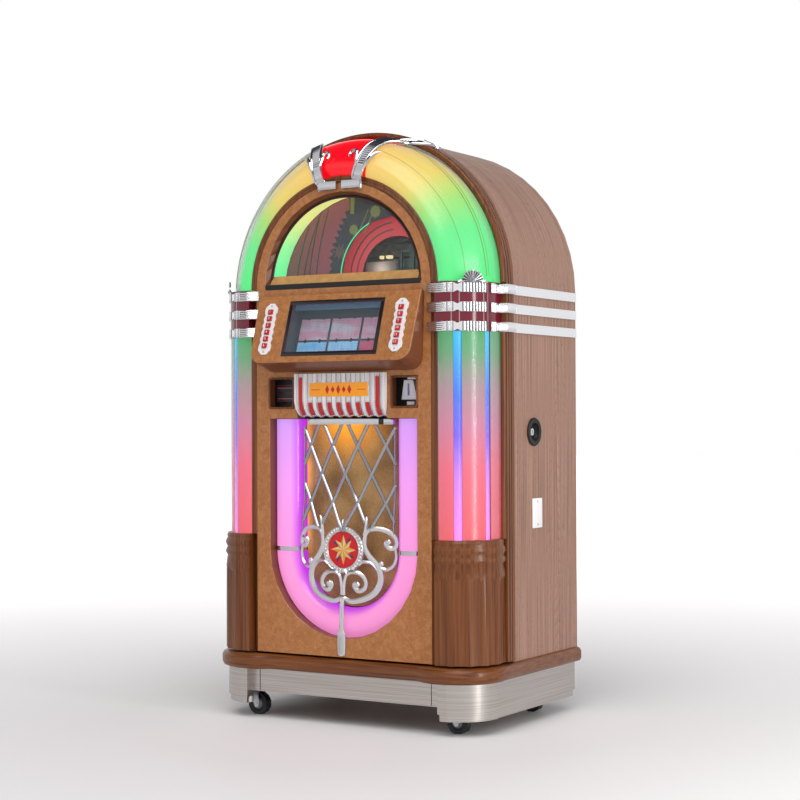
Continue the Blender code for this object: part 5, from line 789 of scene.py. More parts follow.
knots = [(radius, BURL_Y, 0.0, -1.0, CREST_FOOT_LEAN, 0.6) for radius in (0.2555, 0.268)]
for step, station in enumerate(CREST_STATIONS):
    turn = LENS_START * (1 - step / 7)
    knots.append((*lens_front(turn, CREST_LIFT), *around(1.0, math.radians(turn)), *station))
for depth, climb, lean, share in CREST_TAIL:
    knots.append((LENS_X + LENS_RADIUS + CREST_LIFT + 0.016 * climb,
                  LENS_Y + (BURL_Y + 0.150 - LENS_Y) * depth, 1.0, 0.0, lean, share))
rings = []
for index, (radius, y, out, front, lean, share) in enumerate(smooth_path(knots, 8)):
    ring = []
    for across, rise in CREST_SECTION:
        if abs(across) < 0.6 and rise > 0 and 26 < index < 84:
            rise += 0.35 * (index % 2)
        height = 0.0003 + 0.005 * rise
        reach = radius + height * out
        ring.append(on_arch(reach, y + height * front, lean,
                            across * CREST_HALF * share / radius * reach))
    rings.append(ring)
place_both(loft("crest_casting_right", rings), chrome, "crest_casting_")
# Foot turned inwards, C-scroll at the neck, and a leaf that stands out beside it
place_both(block("crest_foot_right", (0.0080, BURL_Y - 0.0115, 1.3800),
                 (0.0640, BURL_Y - 0.0004, 1.4020), 0.0018), chrome)
# Each knot is a turn round the lens, a shift along the arch and a half width
for name, proud, knots in (
        ("crest_scroll_right", 0.0035,
         [(-80, -0.012, 0.0022), (-72, -0.016, 0.0040), (-64, -0.021, 0.0052),
          (-57, -0.028, 0.0050), (-57, -0.038, 0.0042), (-63, -0.043, 0.0034),
          (-67, -0.038, 0.0046)]),
        ("crest_leaf_right", 0.0030,
         [(-80, 0.013, 0.0022), (-72, 0.016, 0.0052), (-63, 0.021, 0.0062),
          (-55, 0.030, 0.0042), (-51, 0.043, 0.0008)])):
    path = smooth_path(knots, 5)
    place_both(cord_piece(name, [on_arch(*lens_front(turn, proud), SCROLL_LEAN, along)
                                 for turn, along, width in path],
                          [width for turn, along, width in path]), chrome)


# Pilaster heads: three chrome bands over a maroon core, on each side of the door.
# A band starts with fine level lines, then two rows of beads, a bow that clears the
# lamp tube's cap, pleats, and fine upright ribs round the side.
CORE_LOW, CORE_HIGH = 1.0067, 1.1296
ROLL_PITCH, ROLL_RADIUS, BEAD_PITCH, BEAD_RADIUS = 0.0048, 0.0027, 0.0046, 0.0019
BAR_PROUD, BAND_INNER, PLEAT_STEP, RIB_DEPTH = 0.0028, -0.0005, 0.32, 0.0006
RIB_FRONT_Y, RIB_OUTER, DOOR_BACK_Y = BURL_Y + 0.131, 0.4113, BURL_Y + 0.1697
FAN_TURN, FAN_RADIUS, FAN_BASE = -39.0, 0.0300, BAND_TOPS[0] - 0.0008
maroon = plain("maroon_acrylic", "#6c1426", 0.12)
core = column("band_core_right", lens_section(LENS_START, 0, 0, 0, 0.005, shoulder=0),
              CORE_LOW, CORE_HIGH)
place_both(core, maroon, "band_stack_")


def on_lens(turn, proud):
    """Plan (x, y) on the lens; past 0 it runs straight back."""
    if turn > 0:
        return (LENS_X + LENS_RADIUS + proud, LENS_Y + LENS_RADIUS * math.radians(turn))
    return lens_front(turn, proud)


def band_plan(first, last, proud, inner, step, pleat=0.0, count=1):
    """Closed plan of part of a band, with rounded pleats that stand out."""
    steps = max(2, round((last - first) / step))
    outer = []
    for share in spaced(0, 1, steps):
        swell = pleat * abs(math.sin(math.pi * count * share)) ** 0.6 if pleat else 0
        outer.append(on_lens(first + (last - first) * share, proud + swell))
    return outer + [on_lens(turn, inner) for turn in spaced(last, first, 8)]


def flat_bar(name, plan, low, high, edge=0.0008):
    return soften(column(name, plan, low, high), edge, 60)


def join(pieces, name):
    bpy.ops.object.select_all(action='DESELECT')
    for piece in pieces:
        piece.select_set(True)
    bpy.context.view_layer.objects.active = pieces[0]
    bpy.ops.object.join()
    pieces[0].name = pieces[0].data.name = name
    return pieces[0]


for index, top in enumerate(BAND_TOPS):
    low = top - BAND_HEIGHT
    parts = []
    # Level lines: a stack of five rolls from the burl to the beads
    for roll in range(5):
        z = low + 0.0024 + ROLL_PITCH * roll
        line = [(0.2580, BURL_Y - 0.0016, z), (0.2720, BURL_Y - 0.0052, z)]
        line += [(*on_lens(turn, 0.0020), z) for turn in range(-90, -77, 2)]
        parts.append(cord_piece("roll", line, ROLL_RADIUS, sides=1))
    # Two rows of beads on a plain bar
    parts.append(flat_bar("bar", band_plan(-79, -66, BAR_PROUD, BAND_INNER, 2), low, top))
    for turn in (-76.5, -71.5):
        for bead in range(5):
            bpy.ops.mesh.primitive_ico_sphere_add(
                subdivisions=2, radius=BEAD_RADIUS,
                location=(*on_lens(turn, 0.0034), low + 0.0028 + BEAD_PITCH * bead))
            parts.append(applied())
    # Bow: waisted over the lamp tube's cap
    bow = sketch("bow", [(share, 0, 0) for share in spaced(0, 1, 12)]
                 + [(1 - step / 12, 0, 1) for step in range(13)])
    for vertex in bow.data.vertices:
        share = vertex.co.x
        waist = 0.0042 * math.sin(math.pi * min(1, share * 1.1)) ** 2
        z = low + waist if vertex.co.z < 0.5 else top - waist
        vertex.co = (*on_lens(-66 + 13 * share, 0), z)
    parts.append(modify(clean(bow), 'SOLIDIFY', thickness=0.0052, offset=0.0))
    # Pleats under the fan, the dark slot, and the narrow pleats beside it
    for plan in (band_plan(-53, -17.5, 0.0020, BAND_INNER, PLEAT_STEP, 0.0026, 8),
                 band_plan(-8, 4, 0.0022, BAND_INNER, PLEAT_STEP, 0.0020, 4)):
        parts.append(flat_bar("pleats", plan, low, top, 0.0006))
    parts.append(flat_bar("bar", band_plan(4, 20.5, 0.0026, BAND_INNER, 3), low, top))
    # Ribs round the door's rim
    x, y = LENS_X + LENS_RADIUS, RIB_FRONT_Y
    plan = [(x, y - 0.0070)]
    for step in range(25):
        plan.append((x + 0.0012 + 0.0004 * step + 0.0130 * step / 24,
                     y - 0.0070 - RIB_DEPTH * (step % 2)))
    plan += [(0.4186, y - 0.0066)]
    for step in range(1, 29):
        plan.append((0.4184 + RIB_DEPTH * (step % 2), y - 0.0060 + 0.0445 * step / 28))
    plan += [(0.4186, DOOR_BACK_Y), (RIB_OUTER + 0.0002, DOOR_BACK_Y),
             (RIB_OUTER + 0.0002, y - 0.0004), (x, y - 0.0004)]
    parts.append(flat_bar("ribs", plan, low, top, 0.0005))
    place_both(join(parts, "band_%d_right" % (index + 1)), bright)
# Fan: a scalloped shell of thin blades with a ball at each side, on the top band
shell = []
for blade in range(11):
    lean = math.radians(5 + 170 * blade / 10)
    reach = FAN_RADIUS * (0.93 + 0.07 * math.sin(lean))
    tip = Vector((reach * math.cos(lean), 0, 0.0030 + reach * math.sin(lean)))
    root = Vector((0.0052 * math.cos(lean), 0, 0.0032 + 0.0040 * math.sin(lean)))
    shell.append(cord_piece("blade", [root, root.lerp(tip, 0.5), tip],
                            [0.0006, 0.0011, 0.0023], sides=1))
shell.append(cord_piece("knob", [(-0.006, -0.001, 0.003), (0, -0.002, 0.005),
                                 (0.006, -0.001, 0.003)], [0.0012, 0.0040, 0.0012]))
for side in (-1, 1):
    shell.append(cord_piece("arm", [(side * 0.024, 0, 0.002), (side * 0.032, 0, 0.0045),
                                    (side * 0.040, 0, 0.001)], [0.0022, 0.0038, 0.0014]))
web = slab("fan_web_right", [around(FAN_RADIUS * 0.95, lean, 0, 0.001)
                             for lean in spaced(0, math.pi, 16)], 0.0012, -0.0012)
seat = (Matrix.Translation((*lens_front(FAN_TURN, 0.0022), FAN_BASE))
        @ Matrix.Rotation(math.radians(FAN_TURN) + math.pi / 2, 4, 'Z'))
for piece, material, slot in ((join(shell, "fan_right"), chrome, "chrome"),
                              (web, black, "dark_metal")):
    piece.data.transform(seat)
    place_both(piece, material)
# Painted shade: black cords laid in the valleys between the pleats, where shade falls
valley_shade = []
for low in (top - BAND_HEIGHT for top in BAND_TOPS):
    for turn, proud in ([(turn, 0.0030) for turn in spaced(-53, -17.5, 8)]
                        + [(-8 + 3 * step, 0.0026) for step in range(5)]
                        + [(-66, 0.0026), (-74, 0.0028), (-79, 0.0030)]):
        x, y = on_lens(turn, proud)
        valley_shade.append(cord_piece("valley", [(x, y, low + 0.0006),
                                             (x, y, low + BAND_HEIGHT - 0.0006)],
                                  0.0010, sides=1))
place_both(join(valley_shade, "band_valleys_right"), black)
# Painted highlights: thin bright chrome rods on the maroon core, where its glossy facets show
# upright lines of reflected light
highlight_rods = []
for turn in (-68.5, -57.5, -21.5, -14.0):
    x, y = lens_front(turn, 0.0002)
    highlight_rods.append(cord_piece("fillet", [(x, y, 1.0070), (x, y, BAND_TOPS[0] - 0.002)], 0.0008,
                              sides=1))
place_both(join(highlight_rods, "band_fillets_right"), chrome)


# Pilaster plastics: a clear acrylic skin over coloured diffuser panels, with two
# lamp tubes in the gaps between the panels.
PILASTER_LOW, PILASTER_HIGH = 0.4876, 1.0062
LAMP_RADIUS = 0.0102
pilaster_glow = lit_plastic("lit_pilaster_acrylic",
                            [(0.0, "#ff6470"), (0.34, "#ff7088"), (0.55, "#dd88a6"),
                             (0.75, "#b39a9c"), (0.9, "#6cae7a"), (1.0, "#4fb06c")],
                            PILASTER_LOW, PILASTER_HIGH, strength=0.66, share=0.28)
tube_glow = lit_plastic("lamp_tube_glow",
                        [(0.0, "#f48cff"), (0.3, "#d084ff"), (0.5, "#7a62ff"),
                         (0.7, "#3f78ff"), (1.0, "#30bcff")],
                        PILASTER_LOW, PILASTER_HIGH, strength=1.0, share=0.2)
for index, (first, last) in enumerate(((LENS_START, -66.3), (-54.0, -17.4), (-5.6, 0))):
    place_both(column("pilaster_diffuser_%d_right" % (index + 1),
                      lens_section(first, last, 0.0032, 0.0032, 0.002, steps=12),
                      PILASTER_LOW, PILASTER_HIGH), pilaster_glow)
for index, turn in enumerate((-60.2, -11.5)):
    x, y = lens_front(turn, -0.0034 - LAMP_RADIUS)
    place_both(cord_piece("pilaster_lamp_%d_right" % (index + 1),
                          [(x, y, PILASTER_LOW), (x, y, PILASTER_HIGH)], LAMP_RADIUS, sides=6),
               tube_glow)
place_both(column("pilaster_skin_right",
                  lens_section(LENS_START, 0, 0, 0, SKIN_WALL, SKIN_GROOVES),
                  PILASTER_LOW, PILASTER_HIGH), skin, "pilaster_lens_")


# Arch threads: the fine dark lines that the arch's skin is moulded with, which follow
# its flank.
def bow_cord(name, radius, y, first, last, thick, sides):
    """A cord round the arch at one radius, between two turns in degrees."""
    turns = [math.radians(turn) for turn in spaced(first, last, 40)]
    return cord_piece(name, [(radius * math.cos(turn), y, ARCH_Z + radius * math.sin(turn))
                             for turn in turns], thick, sides=sides)


thread = plain("moulded_line_in_acrylic", "#6f7a4a", 0.3, 0.15, "#8aa860")
for turn, thick in ((-47, 0.0006), (-12, 0.0007), (-8, 0.0005)):
    line = bow_cord("arch_thread_%d_right" % -turn, *lens_front(turn, 0.0004), 2, 73, thick, 1)
    place_both(ease_flank(line), thread)


# Mouldings: stained half-round beads that hold the plastics' edges, a pair beside the
# burl and one beside the cabinet, up each pilaster and over the arch.
for name, radius, y, thick, reach in (("inner", 0.2722, BURL_Y + 0.0046, 0.0060, 89.8),
                                      ("middle", 0.2800, BURL_Y + 0.0050, 0.0062, 89.8),
                                      ("outer", 0.4040, BURL_Y + 0.1250, 0.0070, 90)):
    for bead in (cord_piece("moulding_%s_right" % name, [(radius, y, PILASTER_LOW),
                                                         (radius, y, PILASTER_HIGH)],
                            thick, sides=4),
                 bow_cord("moulding_arch_%s_right" % name, radius, y, 0.2, reach, thick, 4)):
        place_both(bead, upright_stain)


# Selector: a black bezel with a red pinstripe round toughened glass. Behind it title
# cards hang by clips in a slate-painted rack, under a lit header. The light on the cards
# and the rack is painted on as a faint glow.
SLOPE = Matrix.Translation(SLOPE_TOP) @ Matrix.Rotation(math.radians(90 - 18.3), 4, 'X')
SLOPE_UP = (0, 0.313992, 0.949425)
GLASS_HALF, GLASS_TOP_V, GLASS_FOOT_V, BEZEL = 0.145, -0.0183, -0.1703, 0.0105


def slope_plate(name, outline, low, high, edge=0.0):
    """A plate on the slope, from an outline of (across, up), between two heights."""
    plate = column(name, outline, low, high)
    if edge:
        plate = soften(plate, edge, 50)
    plate.data.transform(SLOPE)
    return plate


def box_outline(left, right, low, high):
    return [(left, low), (right, low), (right, high), (left, high)]


gloss_black = plain("gloss_black_frame", "#17171b", 0.18)
inner_left, inner_low, inner_high = (-GLASS_HALF + BEZEL, GLASS_FOOT_V + BEZEL,
                                     GLASS_TOP_V - BEZEL)
for name, sides in (("head", (-GLASS_HALF, GLASS_HALF, inner_high, GLASS_TOP_V)),
                    ("foot", (-GLASS_HALF, GLASS_HALF, GLASS_FOOT_V, inner_low)),
                    ("left", (-GLASS_HALF, inner_left, inner_low, inner_high)),
                    ("right", (-inner_left, GLASS_HALF, inner_low, inner_high))):
    place(slope_plate("selector_bezel_" + name, box_outline(*sides), -0.0001, 0.0010, 0.0004),
          "door", gloss_black)
pinstripe = cord_piece("selector_pinstripe",
                       [(u, v, 0.0010) for u, v in box_outline(inner_left, -inner_left,
                                                               inner_low, inner_high)],
                       0.0006, cyclic=True, sides=1)
pinstripe.data.transform(SLOPE)
place(pinstripe, "door", bead_red)
# Header: a blue-grey lit plate behind the top of the glass
hood_blue = plain("lit_header_blue", "#41576e", 0.3, 0.35, "#4d6c8c")
place(slope_plate("selector_header", box_outline(-0.1470, 0.1470, -0.0330, -0.0172), -0.0300,
                  -0.0280), "door", hood_blue)


def card_stock(name, paper, ink, accent, strength):
    """Paper card with ruled lines and a tinted wedge. The lamp's light on it is painted on as a
    glow of the card's own colours.
    """
    made = new_material(name)
    down = measure(made, 'DOT_PRODUCT', spot_of(made), SLOPE_UP)
    rule = maths(made, 'FRACT', maths(made, 'DIVIDE', down, 0.0046))
    rule = maths(made, 'LESS_THAN', rule, 0.30)
    words = maths(made, 'GREATER_THAN', grain_noise(made, (260.0, 40.0, 40.0), 2.0), 0.52)
    mark = maths(made, 'MULTIPLY', maths(made, 'MULTIPLY', rule, words), 0.62)
    wash = ramp(made, grain_noise(made, (9.0, 30.0, 30.0), 1.0), (0.46, paper), (0.62, accent))
    tone = mix(made, mark, wash, ink)
    wire(made, {"Base Color": tone, "Roughness": 0.6, "Emission Color": tone,
                "Emission Strength": strength})
    return made


pale_card = card_stock("pale_title_card", "#a8a4b4", "#4a4a64", "#b0849c", 0.3)
blue_card = card_stock("blue_title_card", "#7cabd0", "#2f527e", "#4f9ccc", 0.4)
rose_card = card_stock("rose_title_card", "#a84a68", "#4a3a78", "#b0506e", 0.4)
# The rack's slate paint glows faintly: painted light from the lamp over the cards
rack_slate = plain("slate_rack_paint", "#3d4653", 0.4, 0.12)
RACK_HALF, RACK_FOOT, RACK_HEAD, RACK_WALL = 0.1488, -0.1733, -0.0153, 0.0015
FLOOR_W, CARD_W, CARD_WIDE, CLIP_HALF = -0.060, -0.057, 0.0895, 0.0022
rack = [slope_plate("rack", box_outline(-RACK_HALF, RACK_HALF, RACK_FOOT, RACK_HEAD),
                    FLOOR_W - RACK_WALL, FLOOR_W)]
for sides in ((-RACK_HALF - RACK_WALL, -RACK_HALF, RACK_FOOT, RACK_HEAD),
              (RACK_HALF, RACK_HALF + RACK_WALL, RACK_FOOT, RACK_HEAD),
              (-RACK_HALF, RACK_HALF, RACK_FOOT, RACK_FOOT + RACK_WALL),
              (-RACK_HALF, RACK_HALF, RACK_HEAD - RACK_WALL, RACK_HEAD)):
    rack.append(slope_plate("rack", box_outline(*sides), FLOOR_W, -0.0062))
place(join(rack, "title_rack_box"), "door", rack_slate, ["title_rack"])
for row, (low, high) in enumerate(((-0.1710, -0.1120), (-0.1060, -0.0480))):
    for column_index in range(3):
        left = -0.1400 + 0.0968 * column_index
        right = min(left + CARD_WIDE, RACK_HALF - 0.002)
        number = "%d_%d" % (row + 1, column_index + 1)
        material = pale_card if row else (rose_card if column_index == 2 else blue_card)
        place(slope_plate("title_card_" + number, box_outline(left, right, low, high),
                          CARD_W - 0.0009, CARD_W), "door", material)
        clips = []
        for share, v in ((0.25, low), (0.75, low), (0.25, high), (0.75, high)):
            u = left + CARD_WIDE * share
            clips.append(slope_plate("clip", box_outline(u - CLIP_HALF, u + CLIP_HALF,
                                                         v - CLIP_HALF, v + CLIP_HALF),
                                     FLOOR_W, CARD_W + 0.0010, 0.0003))
        place(join(clips, "card_clips_" + number), "door", black)


# Keys: red urea caps with moulded-in white figures, in scalloped white plates that
# two screws hold at the ends.
KEY_X, KEY_FIRST_V, KEY_PITCH, KEY_TOP = 0.1995, -0.0478, 0.0187, 0.0082
FIGURE_HEIGHT, SCREW_BEYOND = 0.0095, 0.0165
key_red = plain("red_urea", "#b3141c", 0.22)
key_white = plain("cream_figure", "#f3e6dc", 0.4)
plate_white = plain("white_enamelled_zinc", "#e7e3e4", 0.28)
paint(plate_white, "key_plate_left", "key_plate_right")
for side, word in ((-1, "left"), (1, "right")):
    for index in range(6):
        name = "key_%s_%d" % (word, index + 1)
        paint(key_red, name)
        bpy.ops.object.select_all(action='DESELECT')
        bpy.ops.object.text_add(location=(0, 0, 0))
        figure = bpy.context.object
        figure.data.body = str(index + 1 if side < 0 else (index + 7) % 12 or 12)
        figure.data.size = FIGURE_HEIGHT
        figure.data.align_x, figure.data.align_y = 'CENTER', 'CENTER'
        figure.data.extrude = 0.00012
        bpy.ops.object.convert(target='MESH')
        figure.name = figure.data.name = "figure_%s_%d" % (word, index + 1)
        spot = (side * KEY_X, KEY_FIRST_V - KEY_PITCH * index, KEY_TOP + 0.0001)
        figure.data.transform(SLOPE @ Matrix.Translation(spot))
        place(figure, name, key_white)
    for index, v in enumerate((KEY_FIRST_V + SCREW_BEYOND,
                               KEY_FIRST_V - 5 * KEY_PITCH - SCREW_BEYOND)):
        seat = SLOPE @ Matrix.Translation((side * KEY_X, v, 0.0034))
        place(turned("key_plate_screw_%s_%d" % (word, index + 1), SCREW, 14, seat), "door",
              zinc)


# Name casting: white enamelled zinc ribs, with a blank amber plate and red inlays.
NAME_FRONT_Y, NAME_CURL_Z = BURL_Y - 0.0139, 0.836
CURL_DEPTH, CURL_HEIGHT = 0.0329, 0.042
INLAY_PITCH, INLAY_HALF = 0.0293, 0.0050
LOZENGE_HALF, LOZENGE_Z = 0.0062, 0.865
paint(plate_white, "name_casting")
amber = plain("lit_amber_acrylic", "#c87e10", 0.25, 0.32, "#ffa010")
enamel_red = plain("red_enamel", "#c40d12", 0.2)
# Grey for the painted shade in the casting's grooves
groove_shade = plain("groove_shadow_grey", "#5f5b60", 0.6)
fit("name_plate", (-0.0893, NAME_FRONT_Y - 0.0010, 0.8472),
    (0.0893, NAME_FRONT_Y - 0.0004, 0.8828), 0.0002, amber, "plastic_red")
for index, x in enumerate((-0.070, 0.070)):
    fit("name_plate_dart_%d" % (index + 1), (x - 0.013, NAME_FRONT_Y - 0.0013, 0.8640),
        (x + 0.013, NAME_FRONT_Y - 0.0009, 0.8658), 0.0002, enamel_red, "plastic_red")
lozenges = []
for index in range(5):
    x, tall = 0.017 * (index - 2), 0.0085 if index % 2 else 0.0120
    lozenges.append(slab("lozenge", [(x - LOZENGE_HALF, LOZENGE_Z), (x, LOZENGE_Z + tall),
                                     (x + LOZENGE_HALF, LOZENGE_Z), (x, LOZENGE_Z - tall)],
                         NAME_FRONT_Y - 0.0009, -0.0004))
place(join(lozenges, "name_plate_lozenges"), "door", enamel_red)


def curl(share):
    """(y, z) on the front of the casting's curl, from its start to its foot."""
    angle = math.pi / 2 * share
    return (NAME_FRONT_Y + CURL_DEPTH * (1 - math.cos(angle)),
            NAME_CURL_Z - CURL_HEIGHT * math.sin(angle))


# Painted shade: grey cords in the grooves between the ribs, two to each inlay
for groove in range(-9, 9):
    x = (groove + 0.5) * INLAY_PITCH / 2
    line = [(x, NAME_FRONT_Y + 0.0001, z) for z in (0.9062, 0.8835, 0.8465)]
    for y, z in (curl(step / 10) for step in range(10)):
        line.append((x, y + 0.0001, z))
    for part, points in enumerate([line] if abs(x) > 0.092 else [line[:2], line[2:]]):
        place(cord_piece("name_groove_%d_%d" % (groove + 10, part + 1), points, 0.0006, sides=1),
              "door", groove_shade)
for gap in range(9):
    path = [(NAME_FRONT_Y, 0.8975), (NAME_FRONT_Y, 0.870)] if gap in (0, 8) else []
    path = [Vector(point) for point in path + [curl(share) for share in spaced(0.06, 0.66, 10)]]
    low, high = (gap - 4) * INLAY_PITCH - INLAY_HALF, (gap - 4) * INLAY_PITCH + INLAY_HALF
    rings = []
    for index, point in enumerate(path):
        along = (path[min(len(path) - 1, index + 1)] - path[max(0, index - 1)]).normalized()
        out = Vector((along.y, -along.x))
        near, far = point + out * 0.0010, point - out * 0.0004
        rings.append([(low, *near), (high, *near), (high, *far), (low, *far)])
    place(loft("name_inlay_%d" % (gap + 1), rings), "door", enamel_red)


# Coin and note entries: a white enamelled plate with a blue slot lamp, and a maroon
# note guide in its frame, in trays of black moulded plastic with stained rims.
RECESS_X, RECESS_Z, RECESS_FLOOR_Y = 0.188, 0.8575, BURL_Y + 0.039
PLATE_HALF = 0.0335
entry = new_material("moulded_entry_tray")
axes = axes_of(entry)
enamelled = maths(entry, 'LESS_THAN', axes["Y"], RECESS_FLOOR_Y - 0.0006)
for limit in (maths(entry, 'LESS_THAN', axes["X"], RECESS_X + PLATE_HALF),
              maths(entry, 'GREATER_THAN', axes["X"], RECESS_X - PLATE_HALF)):
    enamelled = maths(entry, 'MULTIPLY', enamelled, limit)
wire(entry, {"Base Color": mix(entry, enamelled, "#1a181b", "#dcd9dc"), "Roughness": 0.3})
paint(entry, "coin_entry")
paint(plate_white, "reject_button")
fit("coin_slot_lamp", (RECESS_X - 0.0030, BURL_Y + 0.0225, 0.8478),
    (RECESS_X - 0.0018, BURL_Y + 0.0255, 0.8792), 0.0003,
    plain("blue_slot_lamp", "#1c2a8c", 0.3, 0.6, "#2438c8"), "plastic_red")
fit("coin_return_plate", (RECESS_X - 0.002, BURL_Y + 0.0200, 0.8890),
    (RECESS_X + 0.0375, BURL_Y + 0.0250, 0.8955), 0.0008, plate_white, "cream_plastic")
maroon_frame = plain("maroon_moulded_frame", "#5b3039", 0.3)
note_guide = plain("maroon_note_guide", "#4a262e", 0.35)
rose_bead = plain("rose_bead", "#a8606c", 0.3)
# Boxes by their limits in X from the recess's middle, in Y from the burl, and in Z
for name, left, right, front, back, low, high, edge, material in (
        ("frame_head", -0.0365, 0.0365, 0.0300, 0.0388, 0.8755, 0.8800, 0.0010, maroon_frame),
        ("frame_foot", -0.0365, 0.0365, 0.0300, 0.0388, 0.8350, 0.8395, 0.0010, maroon_frame),
        ("frame_side", -0.0365, -0.0320, 0.0300, 0.0388, 0.8395, 0.8755, 0.0010, maroon_frame),
        ("guide", -0.0318, 0.0360, 0.0290, 0.0302, 0.8400, 0.8745, 0.0003, note_guide),
        ("bead_1", -0.0310, 0.0310, 0.0262, 0.0275, 0.8703, 0.8727, 0.0004, rose_bead),
        ("bead_2", -0.0310, 0.0310, 0.0262, 0.0275, 0.8420, 0.8444, 0.0004, rose_bead)):
    fit("note_" + name, (-RECESS_X + left, BURL_Y + front, low),
        (-RECESS_X + right, BURL_Y + back, high), edge, material, "plastic_red")
# Rims: rounded stained lips round the mouths of the coin and note recesses
for word, middle in (("coin", RECESS_X), ("note", -RECESS_X)):
    lip = []
    for corner, (right, up) in enumerate(((1, 1), (-1, 1), (-1, -1), (1, -1))):
        for step in range(5):
            x, z = around(0.0085, math.radians(90 * corner + 22.5 * step),
                          middle + 0.0300 * right, RECESS_Z + 0.0300 * up)
            lip.append((x, BURL_Y + 0.0002, z))
    place(cord_piece(word + "_recess_rim", lip + lip[:1], 0.0028), "door", upright_stain)


# Lamp tube: a U of opal acrylic round the grille, lilac at the head and rose at the
# foot, with chrome clips. The strip light on its inner side shows through as magenta.
TUBE_X, TUBE_Y, TUBE_RADIUS, TUBE_WALL = 0.189, BURL_Y + 0.051, 0.0405, 0.003
TUBE_OPENING = 42
GRILLE_Z, GRILLE_TOP_Z = 0.450, 0.790
opal = new_material("opal_acrylic_lilac_to_rose")
axes = axes_of(opal)
tone = ramp(opal, ranged(opal, axes["Z"], 0.24, 0.79),
            (0.0, "#f090cc"), (0.35, "#fb96d8"), (0.7, "#f09cee"), (1.0, "#d49af6"))
below = maths(opal, 'MINIMUM', maths(opal, 'SUBTRACT', axes["Z"], GRILLE_Z), 0.0)
reach = measure(opal, 'LENGTH', add(opal, "CombineXYZ", {"X": axes["X"], "Z": below}))
tone = mix(opal, ranged(opal, reach, 0.170, 0.148), tone, "#c832f2")
wire(opal, {"Base Color": mix(opal, 0.38, "#000000", tone), "Roughness": 0.2,
            "Emission Color": tone, "Emission Strength": 0.72})
# C-shaped section, open at the back, of (outward, y)
turns = [math.radians(turn) for turn in spaced(90 + TUBE_OPENING, 450 - TUBE_OPENING, 28)]
section = ([around(TUBE_RADIUS, turn, 0, TUBE_Y) for turn in turns]
           + [around(TUBE_RADIUS - TUBE_WALL, turn, 0, TUBE_Y) for turn in turns[::-1]])
# Down one leg and up the other: (x, z) and the direction away from the middle
path = [(-TUBE_X, GRILLE_TOP_Z - 0.0003, math.pi), (-TUBE_X, 0.62, math.pi)]
for turn in spaced(math.pi, 2 * math.pi, 40):
    path.append((*around(TUBE_X, turn, 0, GRILLE_Z), turn))
path += [(TUBE_X, 0.62, 2 * math.pi), (TUBE_X, GRILLE_TOP_Z - 0.0003, 2 * math.pi)]
rings = [[(x + out * math.cos(turn), y, z + out * math.sin(turn)) for out, y in section]
         for x, z, turn in path]
place(loft("lamp_tube_cover", rings), "door", opal, ["lamp_tube"])
for side, word in ((-1, "left"), (1, "right")):
    rings = []
    for z, proud in ((0.4440, 0.0004), (0.4445, 0.0012), (0.4555, 0.0012), (0.4560, 0.0004)):
        ring = [(proud, angle) for angle in range(160, 382, 6)]
        ring += [(0.0001, angle) for angle in range(380, 158, -6)]
        rings.append([(*around(TUBE_RADIUS + grow, math.radians(angle), side * TUBE_X, TUBE_Y),
                       z) for grow, angle in ring])
    place(loft("tube_clip_" + word, rings), "door", chrome)


# Grille cloth: woven gold acoustic cloth stretched over the board. The light that falls on it
# from above and from the left behind the bars is painted on as an orange glow.
CLOTH_Y, CLOTH_HALF, CLOTH_TOP_Z = BURL_Y + 0.060, 0.1465, 0.7895
THREAD_PITCH = 0.0016
paint(plain("fibreboard_baffle", "#4a3a26", 0.8), "grille_cloth")
weave = new_material("woven_acoustic_cloth")
axes = axes_of(weave)
warp, weft = (maths(weave, 'SINE', maths(weave, 'MULTIPLY', axes[axis],
                                         2 * math.pi / THREAD_PITCH)) for axis in "XZ")
slub = grain_noise(weave, (420.0, 20.0, 260.0), 2.0)
cloud = grain_noise(weave, (11.0, 11.0, 11.0), 1.0)
cross = maths(weave, 'MULTIPLY_ADD', maths(weave, 'MULTIPLY', warp, weft), 0.10, -0.25)
mixed = maths(weave, 'ADD', maths(weave, 'MULTIPLY_ADD', slub, 0.5, cross), cloud)
# Painted light: a pool of orange glow near the top middle, and cloudy patches of it along the
# left edge
away = measure(weave, 'DISTANCE', spot_of(weave), (-0.020, CLOTH_Y, 0.800))
lamp = maths(weave, 'POWER', ranged(weave, away, 0.170, 0.030), 2.2)
left_glow_patch = maths(weave, 'MULTIPLY_ADD', cloud, 2.2, -0.75, use_clamp=True)
left = maths(weave, 'MULTIPLY', ranged(weave, axes["X"], -0.126, -0.150), left_glow_patch)
lamp = maths(weave, 'MULTIPLY', maths(weave, 'ADD', lamp, left), 1.3)
wire(weave, {"Base Color": ramp(weave, mixed, (0.25, "#7d5a30"), (0.5, "#ab8149"),
                                (0.75, "#c79f67")),
             "Roughness": 0.75, "Sheen Weight": 0.3, "Emission Color": "#ff9e18",
             "Emission Strength": lamp, "Normal": bump(weave, cross, 0.5, 0.0003)})
outline = [(-CLOTH_HALF, CLOTH_TOP_Z), (CLOTH_HALF, CLOTH_TOP_Z)]
outline += [around(CLOTH_HALF, -math.pi * step / 24, 0, GRILLE_Z) for step in range(25)]
cloth = slab("grille_cloth_face", outline, CLOTH_Y - 0.0003, -0.0004)
place(cloth, "door", weave)


# Lattice: chrome-plated zinc bars that bow out over the cloth and cross like a net,
# clipped under a bar at the head.
LATTICE_ROW_Z, LATTICE_ROW, LATTICE_PITCH, LATTICE_EDGE = 0.720, 0.0735, 0.0765, 0.140
BAR_Z, HEAD_HALF = 0.7825, 0.125
grey_chrome = metal("smoked_chrome_plate", "#a4a4a9", 0.14)
satin = metal("satin_chrome_plate", "#d9d8d8", 0.3)


def lattice_bow(x):
    return BURL_Y + 0.015 + 1.074 * x * x


